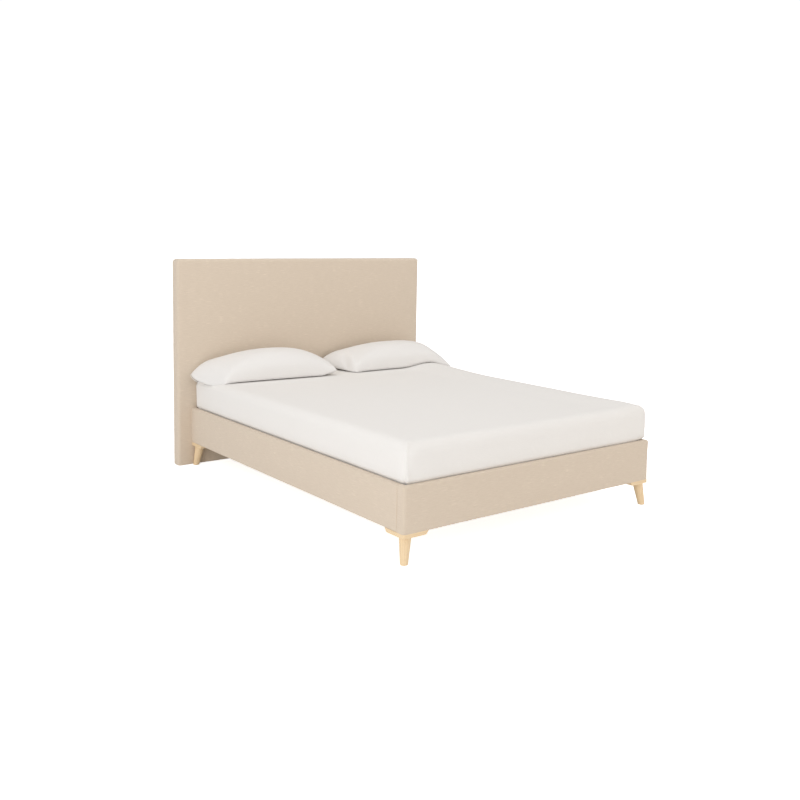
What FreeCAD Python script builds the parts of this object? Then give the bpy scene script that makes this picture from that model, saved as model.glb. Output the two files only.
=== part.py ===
import FreeCAD, Part
import math
import os
from FreeCAD import Vector

# Upholstered queen-size bed: floor-standing padded headboard, padded side rails and foot,
# slatted base with a centre beam, splayed wooden legs on corner plates, mattress, fitted
# sheet and two pillows.
# X runs across the bed, +Y towards the headboard, +Z up. The floor is Z = 0 and the origin
# is the middle of the footprint. Millimetres throughout.

# ---------------------------------------------------------------- driving dimensions
base_width = 1590.0           # side rail to side rail, over the fabric
base_length = 2066.0          # headboard's front face to the foot's outer face
rail_bottom = 136.0           # underside of the padded rails
rail_top = 341.0              # top of the padded rails
headboard_overhang = 83.0     # headboard past the rails, each side
headboard_height = 1210.0     # floor to top edge
headboard_thickness = 64.0    # front of the fabric to the back cloth
mattress_height = 250.0

# fabric, foam and boards
cover_thickness = 1.5         # upholstery fabric
rail_foam = 6.0               # foam over the rail boards
board_thickness = 18.0        # rail boards
front_foam = 22.0             # foam on the headboard's face
edge_foam = 8.0               # foam round the headboard's edges
front_panel_thickness = 6.0   # plywood behind the headboard's foam
back_cloth_thickness = 1.0
back_cloth_inset = 12.0       # cloth's edge inside the headboard's outline
rail_outer_round = 10.0       # outer top edge of a rail
rail_inner_round = 6.0        # inner top edge of a rail
rail_bottom_round = 3.0
foot_corner_round = 14.0      # upright corners of the foot
foot_return_depth = 23.0      # the foot's returns, past its own thickness
headboard_corner_round = 22.0
headboard_front_round = 16.0
headboard_back_round = 4.0
headboard_flap = 45.0         # fabric turned onto the back of the headboard
flap_gap = 1.0                # between the rail covers' flaps and the ledger

# headboard frame
stile_width = 45.0
headboard_rail_height = 45.0

# slatted base
slat_count = 12
slat_width = 90.0
slat_thickness = 18.0
slat_top = 262.0
slat_end_gap = 12.0           # first and last slat to the foot and the headboard
slat_side_gap = 3.0           # slat ends to the rail covers
slat_edge_round = 2.5
ledger_width = 30.0
ledger_height = 30.0
ledger_end_gap = 4.0
tape_width = 22.0
tape_thickness = 1.0
tape_from_ledger = 40.0
beam_width = 34.0
beam_depth = 70.0
hanger_reach = 35.0
hanger_wing = 22.0            # hanger's back plate past its channel
hanger_drop = 13.0            # hanger's back plate below its seat
hanger_gap = 1.0              # beam to hanger, sides and end

# corner brackets and fasteners
bracket_arm = 70.0
bracket_height = 60.0
bracket_steel = 3.0           # brackets and beam hangers
bracket_bottom = 150.0
bracket_holes = (16.0, 54.0)  # bolt centres from the bracket's corner
bolt_radius = 4.0             # M8
bolt_clearance = 0.5          # radial, in plain holes
bolt_head_radius = 7.0
bolt_head_height = 4.5
bolt_socket_radius = 2.9
bolt_socket_depth = 2.8
bolt_bite = 13.0              # thread in a board
headboard_bolt_bite = 22.0    # thread in the headboard's middle rail
headboard_bolt_places = (0.4, 0.85)   # share of the way from the middle to a side rail
screw_radius = 2.0
screw_head_radius = 4.2
screw_head_height = 2.4
screw_length = 40.0
nut_radius = 7.5
nut_height = 6.5

# corner plates, legs and glides
plate_thickness = 18.0
plate_arm_top = 135.0
plate_arm_bottom = 121.0
plate_band = 42.0             # arm width at its end
plate_corner_round = 9.0
leg_top_radius = 27.0
leg_foot_radius = 17.5
leg_foot_inset = 19.0         # leg's centre from the base's corner, at the floor
leg_nut_gap = 1.5             # leg's nut to the rails beside it
leg_edge_round = 1.5
leg_bolt_depth = 40.0         # stud in the leg
glide_radius = 11.0
glide_height = 2.5
glide_round = 0.8
glide_nail_radius = 1.2
glide_nail_length = 16.0
centre_leg_radius = 22.0
centre_leg_clear = 22.0       # centre leg's wood above the floor
centre_foot_radius = 20.0
centre_foot_height = 10.0
centre_foot_round = 2.0
centre_stud_length = 35.0
centre_foot_travel = 10.0
thread_clearance = 0.05       # radial, adjuster stud in the centre leg

# mattress, sheet and pillows
mattress_side_gap = 5.0       # sheet to the rail covers
mattress_end_gap = 2.5        # sheet to the foot and the headboard
mattress_corner_round = 45.0
mattress_edge_round = 40.0
mattress_wall = 18.0          # quilted cover and padding round the spring unit
sheet_thickness = 1.2
sheet_hem = 90.0              # sheet turned under the mattress
rest_gap = 0.3                # between separate soft pieces
pillow_width = 850.0
pillow_depth = 430.0
pillow_height = 184.0
pillow_corner_round = 110.0
pillow_edge_round = 76.0
pillow_wall = 3.0
pillow_from_middle = 5.0      # pillow's inner end to the middle of the bed
pillow_from_headboard = 6.0
pillow_left_turn = -3.0       # degrees about Z, so its outer end lies nearer the headboard

# gaps between upholstered units
seam_gap = 1.0                # foot to side rail
head_gap = 0.5                # rails to the headboard
plate_headboard_gap = 0.5

# ---------------------------------------------------------------- derived places
half_width = base_width / 2
foot_face = -(base_length + headboard_thickness) / 2
head_face = foot_face + base_length
head_back = head_face + headboard_thickness
rail_thickness = 2 * cover_thickness + rail_foam + board_thickness
board_outer_inset = cover_thickness + rail_foam
board_inner_inset = board_outer_inset + board_thickness
board_middle_inset = board_outer_inset + board_thickness / 2
board_bottom = rail_bottom + cover_thickness
board_top = rail_top - cover_thickness - rail_foam
foot_return = rail_thickness + foot_return_depth
leg_top_inset = rail_thickness + nut_radius + leg_nut_gap
seam = foot_face + foot_return
well_foot = foot_face + rail_thickness
well_half_width = half_width - rail_thickness
slat_bottom = slat_top - slat_thickness
ledger_bottom = slat_bottom - ledger_height
mattress_bottom = slat_top + sheet_thickness + rest_gap
mattress_top = mattress_bottom + mattress_height
plate_bottom = rail_bottom - plate_thickness
headboard_bottom = glide_height
headboard_half_width = half_width + headboard_overhang
head_rail_face = head_face - head_gap - board_thickness
bracket_middle = bracket_bottom + bracket_height / 2


# ---------------------------------------------------------------- helpers
def box(x0, x1, y0, y1, z0, z1):
    """A box from its low and high corners."""
    return Part.makeBox(x1 - x0, y1 - y0, z1 - z0, Vector(x0, y0, z0))


def fuse_all(shapes):
    """One shape from several that touch or overlap."""
    return shapes[0].multiFuse(shapes[1:]).removeSplitter()


def mirrored(shape):
    """The same piece for the other side of the bed."""
    return shape.mirror(Vector(0, 0, 0), Vector(1, 0, 0))


def round_edges(shape, radius, chosen):
    """Round every edge whose bounding box passes the test."""
    edges = [edge for edge in shape.Edges if chosen(edge.BoundBox)]
    return shape.makeFillet(radius, edges)


def near(a, b):
    return abs(a - b) < 0.01


def upright(bound, x, y):
    """True for an upright edge at x, y."""
    at_x = near(bound.XMin, x) and near(bound.XMax, x)
    at_y = near(bound.YMin, y) and near(bound.YMax, y)
    return at_x and at_y


def along_y(bound, x, z):
    """True for an edge along Y at x, z."""
    at_x = near(bound.XMin, x) and near(bound.XMax, x)
    at_z = near(bound.ZMin, z) and near(bound.ZMax, z)
    return at_x and at_z


def level(bound, z):
    """True for an edge that lies at height z."""
    return near(bound.ZMin, z) and near(bound.ZMax, z)


def cushion_block(x0, x1, y0, y1, z0, z1, corner_round, edge_round):
    """A block with rounded upright corners and rounded top and bottom edges."""
    block = box(x0, x1, y0, y1, z0, z1)
    block = round_edges(block, corner_round, lambda b: b.ZLength > (z1 - z0) / 2)
    return round_edges(block, edge_round, lambda b: level(b, z0) or level(b, z1))


def hex_prism(centre, direction, radius, length):
    """A hexagonal prism that starts at centre and runs along direction."""
    corners = []
    for i in range(7):
        angle = i * math.pi / 3
        corners.append(Vector(radius * math.cos(angle), radius * math.sin(angle), 0))
    prism = Part.Face(Part.makePolygon(corners)).extrude(Vector(0, 0, length))
    turn = FreeCAD.Rotation(Vector(0, 0, 1), direction)
    prism.Placement = FreeCAD.Placement(centre, turn)
    return prism


def bolt(seat, direction, length):
    """A socket-head bolt whose head sits on the point seat and whose shank runs along direction."""
    back = seat - direction * bolt_head_height
    head = Part.makeCylinder(bolt_head_radius, bolt_head_height, back, direction)
    socket = hex_prism(back, direction, bolt_socket_radius, bolt_socket_depth)
    shank = Part.makeCylinder(bolt_radius, length, seat, direction)
    return fuse_all([head.cut(socket), shank])


def bolt_hole(seat, direction, length):
    """The clearance hole for a bolt."""
    return Part.makeCylinder(bolt_radius + bolt_clearance, length, seat, direction)


def screw(surface, direction):
    """A countersunk wood screw whose head is flush with the point surface."""
    head = Part.makeCone(screw_head_radius, screw_radius, screw_head_height, surface, direction)
    neck = surface + direction * screw_head_height
    tip_length = 3 * screw_radius
    shank_length = screw_length - screw_head_height - tip_length
    shank = Part.makeCylinder(screw_radius, shank_length, neck, direction)
    tip_start = neck + direction * shank_length
    tip = Part.makeCone(screw_radius, 0, tip_length, tip_start, direction)
    return fuse_all([head, shank, tip])


def cut_by(shape, tools):
    """Shape with every tool's volume taken out."""
    return shape.cut(Part.makeCompound(tools))


# ---------------------------------------------------------------- side rails
def side_section(inset):
    """The left side rail's padded outline, moved inwards by inset on every face."""
    x0 = -half_width + inset
    x1 = -half_width + rail_thickness - inset
    z0 = rail_bottom + inset
    z1 = rail_top - inset
    block = box(x0, x1, seam + seam_gap + inset, head_face - head_gap - inset, z0, z1)
    block = round_edges(block, rail_outer_round - inset, lambda b: along_y(b, x0, z1))
    block = round_edges(block, rail_inner_round - inset, lambda b: along_y(b, x1, z1))
    bottom_round = rail_bottom_round - inset
    return round_edges(block, bottom_round, lambda b: level(b, z0) and b.YLength > b.XLength)


def inner_window(x0, x1, y0, y1):
    """The strip on a rail's inner face that the fabric's two flaps leave bare."""
    return box(x0, x1, y0, y1, ledger_bottom - flap_gap, slat_bottom + flap_gap)


def side_board():
    return box(
        -half_width + board_outer_inset, -half_width + board_inner_inset,
        seam + seam_gap + cover_thickness, head_face - head_gap - cover_thickness,
        board_bottom, board_top)


def side_foam():
    return side_section(cover_thickness).cut(side_board())


def side_cover():
    cover = cut_by(side_section(0.0), [side_section(cover_thickness), side_board()])
    inner = -half_width + board_inner_inset
    window = inner_window(
        inner, inner + cover_thickness,
        seam + seam_gap + cover_thickness, head_face - head_gap - cover_thickness)
    return cover.cut(window)


def ledger():
    inner = -half_width + board_inner_inset
    return box(
        inner, inner + ledger_width,
        seam + seam_gap + ledger_end_gap, head_rail_face - ledger_end_gap,
        ledger_bottom, slat_bottom)


# ---------------------------------------------------------------- foot
def foot_section(inset):
    """The foot's padded outline with its two returns, moved inwards by inset."""
    x1 = half_width - inset
    y0 = foot_face + inset
    z0 = rail_bottom + inset
    z1 = rail_top - inset
    block = box(-x1, x1, y0, seam - inset, z0, z1)
    inside_x = half_width - rail_thickness + inset
    inside_y = foot_face + rail_thickness - inset
    block = block.cut(box(-inside_x, inside_x, inside_y, seam, rail_bottom, rail_top))
    corner = foot_corner_round - inset
    block = round_edges(block, corner, lambda b: upright(b, x1, y0) or upright(b, -x1, y0))

    def outer_top(b):
        if not level(b, z1):
            return False
        on_side = near(b.XMax, x1) or near(b.XMin, -x1)
        return near(b.YMin, y0) or (on_side and b.YLength > b.XLength)

    return round_edges(block, rail_outer_round - inset, outer_top)


def foot_board():
    return box(
        -half_width + board_outer_inset, half_width - board_outer_inset,
        foot_face + board_outer_inset, foot_face + board_inner_inset,
        board_bottom, board_top)


def foot_return_block():
    """The left block that carries the foot's padding round the corner."""
    return box(
        -half_width + board_outer_inset, -half_width + board_inner_inset,
        foot_face + board_inner_inset, seam - cover_thickness,
        board_bottom, board_top)


def foot_foam():
    boards = [foot_board(), foot_return_block(), mirrored(foot_return_block())]
    return cut_by(foot_section(cover_thickness), boards)


def foot_cover():
    cover = foot_section(0.0).cut(foot_section(cover_thickness))
    inner_y = foot_face + board_inner_inset
    across = half_width - board_inner_inset
    window = inner_window(-across, across, inner_y, inner_y + cover_thickness)
    return cover.cut(window)


def head_rail():
    """Plain board across the head of the base, bolted to the headboard."""
    across = well_half_width - head_gap
    return box(
        -across, across, head_rail_face, head_face - head_gap,
        rail_bottom, slat_bottom - tape_thickness)


# ---------------------------------------------------------------- headboard
headboard_fabric_back = head_back - back_cloth_thickness
frame_back = headboard_fabric_back - cover_thickness
panel_front = head_face + cover_thickness + front_foam
frame_front = panel_front + front_panel_thickness
frame_half_width = headboard_half_width - cover_thickness - edge_foam
frame_top = headboard_height - cover_thickness - edge_foam
frame_bottom = headboard_bottom + cover_thickness


def headboard_section(inset):
    """The headboard's padded outline, moved inwards by inset on every face."""
    x1 = headboard_half_width - inset
    y0 = head_face + inset
    y1 = headboard_fabric_back - inset
    z0 = headboard_bottom + inset
    z1 = headboard_height - inset
    block = box(-x1, x1, y0, y1, z0, z1)
    corner = headboard_corner_round - inset
    block = round_edges(block, corner, lambda b: level(b, z1) and b.YLength > b.XLength)

    def around(b, y):
        return near(b.YMin, y) and near(b.YMax, y) and not level(b, z0)

    block = round_edges(block, headboard_front_round - inset, lambda b: around(b, y0))
    return round_edges(block, headboard_back_round - inset, lambda b: around(b, y1))


def frame_block():
    """The space of the headboard's frame and front panel together."""
    return box(-frame_half_width, frame_half_width, panel_front, frame_back, frame_bottom, frame_top)


def headboard_cover():
    cover = headboard_section(0.0).cut(headboard_section(cover_thickness))
    across = headboard_half_width - headboard_flap
    window = box(
        -across, across, frame_back, headboard_fabric_back,
        headboard_bottom + headboard_flap, headboard_height - headboard_flap)
    return cover.cut(window)


def headboard_stile():
    return box(
        -frame_half_width, -frame_half_width + stile_width,
        frame_front, frame_back, frame_bottom, frame_top)


def headboard_cross(z0, z1):
    across = frame_half_width - stile_width
    return box(-across, across, frame_front, frame_back, z0, z1)


def headboard_panel():
    return box(
        -frame_half_width, frame_half_width, panel_front, frame_front, frame_bottom, frame_top)


def headboard_back_cloth():
    across = headboard_half_width - back_cloth_inset
    return box(
        -across, across, headboard_fabric_back, head_back,
        headboard_bottom + back_cloth_inset, headboard_height - back_cloth_inset)


# ---------------------------------------------------------------- slatted base
slat_pitch = (head_face - well_foot - 2 * slat_end_gap - slat_width) / (slat_count - 1)
slat_start = well_foot + slat_end_gap
slat_half_length = well_half_width - slat_side_gap
tape_middle = half_width - board_inner_inset - ledger_width - tape_from_ledger


def slat(index):
    y0 = slat_start + index * slat_pitch
    board = box(-slat_half_length, slat_half_length, y0, y0 + slat_width, slat_bottom, slat_top)
    return round_edges(board, slat_edge_round, lambda b: b.XLength > slat_half_length)


def slat_tape():
    """Left tape, stapled under the slats to hold their spacing."""
    last = slat_start + (slat_count - 1) * slat_pitch + slat_width
    return box(
        -tape_middle - tape_width / 2, -tape_middle + tape_width / 2, slat_start, last,
        slat_bottom - tape_thickness, slat_bottom)


beam_top = slat_bottom - tape_thickness
beam_bottom = beam_top - beam_depth
hanger_half = beam_width / 2 + hanger_gap + bracket_steel
hanger_hole = hanger_half + hanger_wing / 2
hanger_holes_z = (beam_bottom + 0.25 * beam_depth, beam_bottom + 0.75 * beam_depth)


def centre_beam():
    end_room = bracket_steel + hanger_gap
    return box(
        -beam_width / 2, beam_width / 2, well_foot + end_room, head_rail_face - end_room,
        beam_bottom, beam_top)


def beam_hanger(face, inwards):
    """A bent-steel saddle on a rail's face; inwards is +1 or -1 along Y."""
    def depth_box(x0, x1, reach_from, reach_to, z0, z1):
        ends = sorted((face + inwards * reach_from, face + inwards * reach_to))
        return box(x0, x1, ends[0], ends[1], z0, z1)

    seat_bottom = beam_bottom - bracket_steel
    plate_half = hanger_half + hanger_wing
    back = depth_box(
        -plate_half, plate_half, 0, bracket_steel, seat_bottom - hanger_drop, beam_top)
    channel = depth_box(-hanger_half, hanger_half, 0, hanger_reach, seat_bottom, beam_top)
    inner = hanger_half - bracket_steel
    room = depth_box(-inner, inner, bracket_steel, hanger_reach, beam_bottom, beam_top)
    return fuse_all([back, channel.cut(room)])


def hanger_bolts(face, inwards):
    """Seats and directions of one hanger's four bolts."""
    seats = []
    for side in (-1, 1):
        for z in hanger_holes_z:
            seats.append((Vector(side * hanger_hole, face + inwards * bracket_steel, z),
                          Vector(0, -inwards, 0)))
    return seats


# ---------------------------------------------------------------- corner brackets
def corner_bracket(corner_y, inwards):
    """A steel angle in a left corner, one arm on the side rail and one on the cross board."""
    x0 = -well_half_width
    side_ends = sorted((corner_y, corner_y + inwards * bracket_arm))
    cross_ends = sorted((corner_y, corner_y + inwards * bracket_steel))
    top = bracket_bottom + bracket_height
    side_arm = box(x0, x0 + bracket_steel, side_ends[0], side_ends[1], bracket_bottom, top)
    cross_arm = box(x0, x0 + bracket_arm, cross_ends[0], cross_ends[1], bracket_bottom, top)
    return fuse_all([side_arm, cross_arm])


def bracket_bolts(corner_y, inwards):
    """Seats and directions of one left bracket's four bolts."""
    seats = []
    for distance in bracket_holes:
        side_seat = Vector(
            -well_half_width + bracket_steel, corner_y + inwards * distance, bracket_middle)
        seats.append((side_seat, Vector(-1, 0, 0)))
        cross_seat = Vector(
            -well_half_width + distance, corner_y + inwards * bracket_steel, bracket_middle)
        seats.append((cross_seat, Vector(0, -inwards, 0)))
    return seats


# ---------------------------------------------------------------- legs and corner plates
def corner_outline(arm, band, z, y_edge, inwards):
    """A left corner plate's outline at height z."""
    x_edge = -half_width
    corners = [(0, 0), (arm, 0), (arm, band), (band, arm), (0, arm), (0, 0)]
    points = [Vector(x_edge + u, y_edge + inwards * v, z) for u, v in corners]
    return Part.makePolygon(points)


def corner_plate(y_edge, inwards):
    """A left corner plate whose ends slope in towards the floor."""
    bottom = corner_outline(plate_arm_bottom, plate_band, plate_bottom, y_edge, inwards)
    top = corner_outline(plate_arm_top, plate_band, rail_bottom, y_edge, inwards)
    plate = Part.makeLoft([bottom, top], True, True)
    return round_edges(plate, plate_corner_round, lambda b: upright(b, -half_width, y_edge))


def leg_centre(y_edge, inwards, inset):
    return Vector(-half_width + inset, y_edge + inwards * inset, 0)


def leg(y_edge, inwards):
    """A tapered round leg that leans out towards the left corner."""
    foot = leg_centre(y_edge, inwards, leg_foot_inset) + Vector(0, 0, glide_height)
    top = leg_centre(y_edge, inwards, leg_top_inset) + Vector(0, 0, plate_bottom)
    up = Vector(0, 0, 1)
    rings = [
        Part.Wire(Part.makeCircle(leg_foot_radius, foot, up)),
        Part.Wire(Part.makeCircle(leg_top_radius, top, up))]
    body = Part.makeLoft(rings, True, True)
    return round_edges(body, leg_edge_round, lambda b: level(b, glide_height) and b.XLength > 1)


def leg_bolt(centre, top_of_wood, clamped):
    """A stud in the leg's top that passes the piece above it and takes a nut."""
    start = Vector(centre.x, centre.y, top_of_wood - leg_bolt_depth)
    length = leg_bolt_depth + clamped + nut_height
    stud = Part.makeCylinder(bolt_radius, length, start, Vector(0, 0, 1))
    nut = hex_prism(
        Vector(centre.x, centre.y, top_of_wood + clamped), Vector(0, 0, 1), nut_radius, nut_height)
    return fuse_all([stud, nut])


def floor_glide(centre):
    """A nailed plastic glide; its top is glide_height above the floor."""
    disc = Part.makeCylinder(glide_radius, glide_height, Vector(centre.x, centre.y, 0))
    disc = round_edges(disc, glide_round, lambda b: level(b, 0) and b.XLength > 1)
    nail = Part.makeCylinder(
        glide_nail_radius, glide_nail_length, Vector(centre.x, centre.y, glide_height))
    return fuse_all([disc, nail])


# ---------------------------------------------------------------- centre leg
centre_y = (well_foot + head_face) / 2
centre_leg_hole_depth = centre_stud_length + centre_foot_height + centre_foot_travel + 2.0


def centre_leg():
    """A plain round leg under the middle of the beam, bored for its adjuster."""
    height = beam_bottom - centre_leg_clear
    wood = Part.makeCylinder(centre_leg_radius, height, Vector(0, centre_y, centre_leg_clear))
    bore = Part.makeCylinder(
        bolt_radius + thread_clearance, centre_leg_hole_depth - centre_leg_clear,
        Vector(0, centre_y, centre_leg_clear))
    return wood.cut(bore)


def centre_foot():
    """The screw foot that levels the centre leg."""
    pad = Part.makeCylinder(centre_foot_radius, centre_foot_height, Vector(0, centre_y, 0))
    pad = round_edges(pad, centre_foot_round, lambda b: b.XLength > centre_foot_radius)
    stud = Part.makeCylinder(
        bolt_radius, centre_stud_length, Vector(0, centre_y, centre_foot_height))
    return fuse_all([pad, stud])


# ---------------------------------------------------------------- bedding
def mattress_block(extra):
    """The mattress's outline, grown by extra on every face."""
    x1 = well_half_width - mattress_side_gap - sheet_thickness + extra
    y0 = well_foot + mattress_end_gap + sheet_thickness - extra
    y1 = head_face - mattress_end_gap - sheet_thickness + extra
    return cushion_block(
        -x1, x1, y0, y1, mattress_bottom - extra, mattress_top + extra,
        mattress_corner_round + extra, mattress_edge_round + extra)


def mattress():
    return mattress_block(0.0).cut(mattress_block(-mattress_wall))


def fitted_sheet():
    skin = mattress_block(sheet_thickness).cut(mattress_block(0.0))
    inset = sheet_hem
    x1 = well_half_width - mattress_side_gap - inset
    y0 = well_foot + mattress_end_gap + inset
    y1 = head_face - mattress_end_gap - inset
    mouth = box(-x1, x1, y0, y1, mattress_bottom - sheet_thickness, mattress_bottom)
    mouth = round_edges(mouth, mattress_corner_round, lambda b: near(b.XLength, 0) and near(b.YLength, 0))
    return skin.cut(mouth)


def pillow(side, turn):
    """A hollow pillow on one side of the bed (-1 left, 1 right), turned by so many degrees."""
    z0 = mattress_top + sheet_thickness + rest_gap

    def block(inset):
        x1 = pillow_width / 2 - inset
        y1 = pillow_depth / 2 - inset
        return cushion_block(
            -x1, x1, -y1, y1, z0 + inset, z0 + pillow_height - inset,
            pillow_corner_round - inset, pillow_edge_round - inset)

    angle = math.radians(abs(turn))
    reach_x = pillow_width / 2 * math.cos(angle) + pillow_depth / 2 * math.sin(angle)
    reach_y = pillow_depth / 2 * math.cos(angle) + pillow_width / 2 * math.sin(angle)
    shape = block(0.0).cut(block(pillow_wall))
    shape.rotate(Vector(0, 0, 0), Vector(0, 0, 1), turn)
    shape.translate(Vector(
        side * (pillow_from_middle + reach_x), head_face - pillow_from_headboard - reach_y, 0))
    return shape


# ---------------------------------------------------------------- assembly
def build():
    """Every piece of the bed by its name."""
    nodes = {}
    rear_edge = head_face - plate_headboard_gap
    corners = {"foot": (foot_face, 1), "head": (rear_edge, -1)}
    bracket_corners = {"foot": (well_foot, 1), "head": (head_rail_face, -1)}

    # fasteners: seats are listed for the left side and mirrored for the right
    seats = []
    for y_edge, inwards in bracket_corners.values():
        seats += bracket_bolts(y_edge, inwards)
    seats += [(Vector(-seat.x, seat.y, seat.z), Vector(-way.x, way.y, way.z)) for seat, way in seats]
    for y_edge, inwards in bracket_corners.values():
        seats += hanger_bolts(y_edge, inwards)
    rail_bolts = []
    rail_holes = []
    for seat, way in seats:
        through = bracket_steel + cover_thickness
        rail_bolts.append(bolt(seat, way, through + bolt_bite))
        rail_holes.append(bolt_hole(seat, way, through))
    headboard_bolts = []
    headboard_holes = []
    for share in headboard_bolt_places:
        for side in (-1, 1):
            seat = Vector(side * share * well_half_width, head_rail_face, bracket_middle)
            through = frame_front - head_rail_face
            headboard_bolts.append(bolt(seat, Vector(0, 1, 0), through + headboard_bolt_bite))
            headboard_holes.append(bolt_hole(seat, Vector(0, 1, 0), through))

    screws = []
    ledger_ends = (seam + seam_gap + ledger_end_gap, head_rail_face - ledger_end_gap)
    ledger_screw_count = 7
    ledger_face = well_half_width + cover_thickness - ledger_width
    for i in range(ledger_screw_count):
        share = (i + 0.5) / ledger_screw_count
        y = ledger_ends[0] + share * (ledger_ends[1] - ledger_ends[0])
        for side in (-1, 1):
            start = Vector(side * ledger_face, y, ledger_bottom + ledger_height / 2)
            screws.append(screw(start, Vector(side, 0, 0)))
    for index in (0, slat_count - 1):
        y = slat_start + index * slat_pitch + slat_width / 2
        for side in (-1, 1):
            start = Vector(side * (ledger_face + ledger_width / 2), y, slat_top)
            screws.append(screw(start, Vector(0, 0, -1)))
    return_middle = (board_inner_inset + foot_return - cover_thickness) / 2
    side_insets = {"foot": (return_middle, 80.0, 108.0), "head": (60.0, 84.0, 108.0)}
    cross_insets = {"foot": board_middle_inset, "head": board_thickness / 2}
    for end, (y_edge, inwards) in corners.items():
        spots = [(board_middle_inset, v) for v in side_insets[end]]
        spots += [(u, cross_insets[end]) for u in (62.0, 105.0)]
        for u, v in spots:
            for side in (-1, 1):
                start = Vector(side * (half_width - u), y_edge + inwards * v, plate_bottom)
                screws.append(screw(start, Vector(0, 0, 1)))

    # legs, plates, studs and glides
    glides = []
    studs = []
    for end, (y_edge, inwards) in corners.items():
        plate = corner_plate(y_edge, inwards)
        top_centre = leg_centre(y_edge, inwards, leg_top_inset)
        stud = leg_bolt(top_centre, plate_bottom, plate_thickness)
        hole = Part.makeCylinder(
            bolt_radius + bolt_clearance, plate_thickness,
            Vector(top_centre.x, top_centre.y, plate_bottom))
        glide = floor_glide(leg_centre(y_edge, inwards, leg_foot_inset))
        wood = cut_by(leg(y_edge, inwards), [stud, glide])
        plate = plate.cut(hole)
        for side, turn in (("left", lambda s: s), ("right", mirrored)):
            nodes[f"corner_plate_{end}_{side}"] = cut_by(turn(plate), screws)
            nodes[f"leg_{end}_{side}"] = turn(wood)
            studs.append(turn(stud))
            glides.append(turn(glide))
    stile_middle = frame_half_width - stile_width / 2
    frame_middle = (frame_front + frame_back) / 2
    for x in (-stile_middle, 0.0, stile_middle):
        glides.append(floor_glide(Vector(x, frame_middle, 0)))

    # headboard
    nodes["headboard_stile_left"] = cut_by(headboard_stile(), glides)
    nodes["headboard_stile_right"] = cut_by(mirrored(headboard_stile()), glides)
    nodes["headboard_top_rail"] = headboard_cross(frame_top - headboard_rail_height, frame_top)
    middle = headboard_cross(rail_bottom, slat_bottom)
    nodes["headboard_middle_rail"] = cut_by(middle, headboard_bolts)
    bottom = headboard_cross(frame_bottom, frame_bottom + headboard_rail_height)
    nodes["headboard_bottom_rail"] = cut_by(bottom, glides)
    nodes["headboard_front_panel"] = cut_by(headboard_panel(), headboard_holes)
    foam = headboard_section(cover_thickness).cut(frame_block())
    nodes["headboard_foam"] = cut_by(foam, headboard_holes)
    nodes["headboard_cover"] = cut_by(headboard_cover(), headboard_holes + glides)
    nodes["headboard_back_cloth"] = headboard_back_cloth()

    # side rails and ledgers
    for side, turn in (("left", lambda s: s), ("right", mirrored)):
        nodes[f"side_rail_{side}"] = cut_by(turn(side_board()), rail_bolts + screws)
        nodes[f"side_rail_foam_{side}"] = turn(side_foam())
        nodes[f"side_rail_cover_{side}"] = cut_by(turn(side_cover()), rail_holes + screws)
        nodes[f"slat_ledger_{side}"] = cut_by(turn(ledger()), screws)

    # foot and head rail
    nodes["foot_rail"] = cut_by(foot_board(), rail_bolts + screws)
    nodes["foot_return_left"] = cut_by(foot_return_block(), rail_bolts + screws)
    nodes["foot_return_right"] = cut_by(mirrored(foot_return_block()), rail_bolts + screws)
    nodes["foot_foam"] = foot_foam()
    nodes["foot_cover"] = cut_by(foot_cover(), rail_holes + screws)
    nodes["head_rail"] = cut_by(head_rail(), rail_bolts + headboard_holes + screws)

    # brackets
    brackets = []
    for y_edge, inwards in bracket_corners.values():
        left = cut_by(corner_bracket(y_edge, inwards), rail_holes)
        brackets += [left, mirrored(left)]
    nodes["corner_brackets"] = Part.makeCompound(brackets)

    # centre beam and its leg
    beam_stud = leg_bolt(Vector(0, centre_y, 0), beam_bottom, beam_depth - nut_height)
    nodes["centre_beam"] = centre_beam().cut(beam_stud)
    nodes["beam_hanger_foot"] = cut_by(beam_hanger(well_foot, 1), rail_holes)
    nodes["beam_hanger_head"] = cut_by(beam_hanger(head_rail_face, -1), rail_holes)
    nodes["centre_leg"] = centre_leg().cut(beam_stud)
    nodes["centre_foot"] = centre_foot()
    studs.append(beam_stud)

    # slats and tapes
    for index in range(slat_count):
        nodes[f"slat_{index + 1:02d}"] = cut_by(slat(index), screws)
    nodes["slat_tape_left"] = slat_tape()
    nodes["slat_tape_right"] = mirrored(slat_tape())

    # groups of identical fasteners
    nodes["frame_bolts"] = Part.makeCompound(rail_bolts + headboard_bolts)
    nodes["wood_screws"] = Part.makeCompound(screws)
    nodes["leg_bolts"] = Part.makeCompound(studs)
    nodes["floor_glides"] = Part.makeCompound(glides)

    # bedding
    nodes["mattress"] = mattress()
    nodes["fitted_sheet"] = fitted_sheet()
    nodes["pillow_left"] = pillow(-1, pillow_left_turn)
    nodes["pillow_right"] = pillow(1, 0.0)
    return nodes


os.makedirs("parts", exist_ok=True)
for name, shape in build().items():
    shape.exportStep(os.path.join("parts", name + ".step"))
    solids = len(shape.Solids)
    print(f"{name}: {solids} solid(s), {shape.Volume / 1e6:.3f} litres, valid {shape.isValid()}")
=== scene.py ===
# %% [markdown]
# # A padded bed, finished in Blender
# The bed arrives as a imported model: every board, slat, screw and cushion is in its place and
# moves with its own body. This lesson gives it its looks. Some pieces keep their shape and get
# a finish. The soft ones (linen upholstery, sheet, mattress, pillows) are made again here.

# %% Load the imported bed
import math

import bpy
import numpy as np
from mathutils import Matrix, Vector, noise


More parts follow.
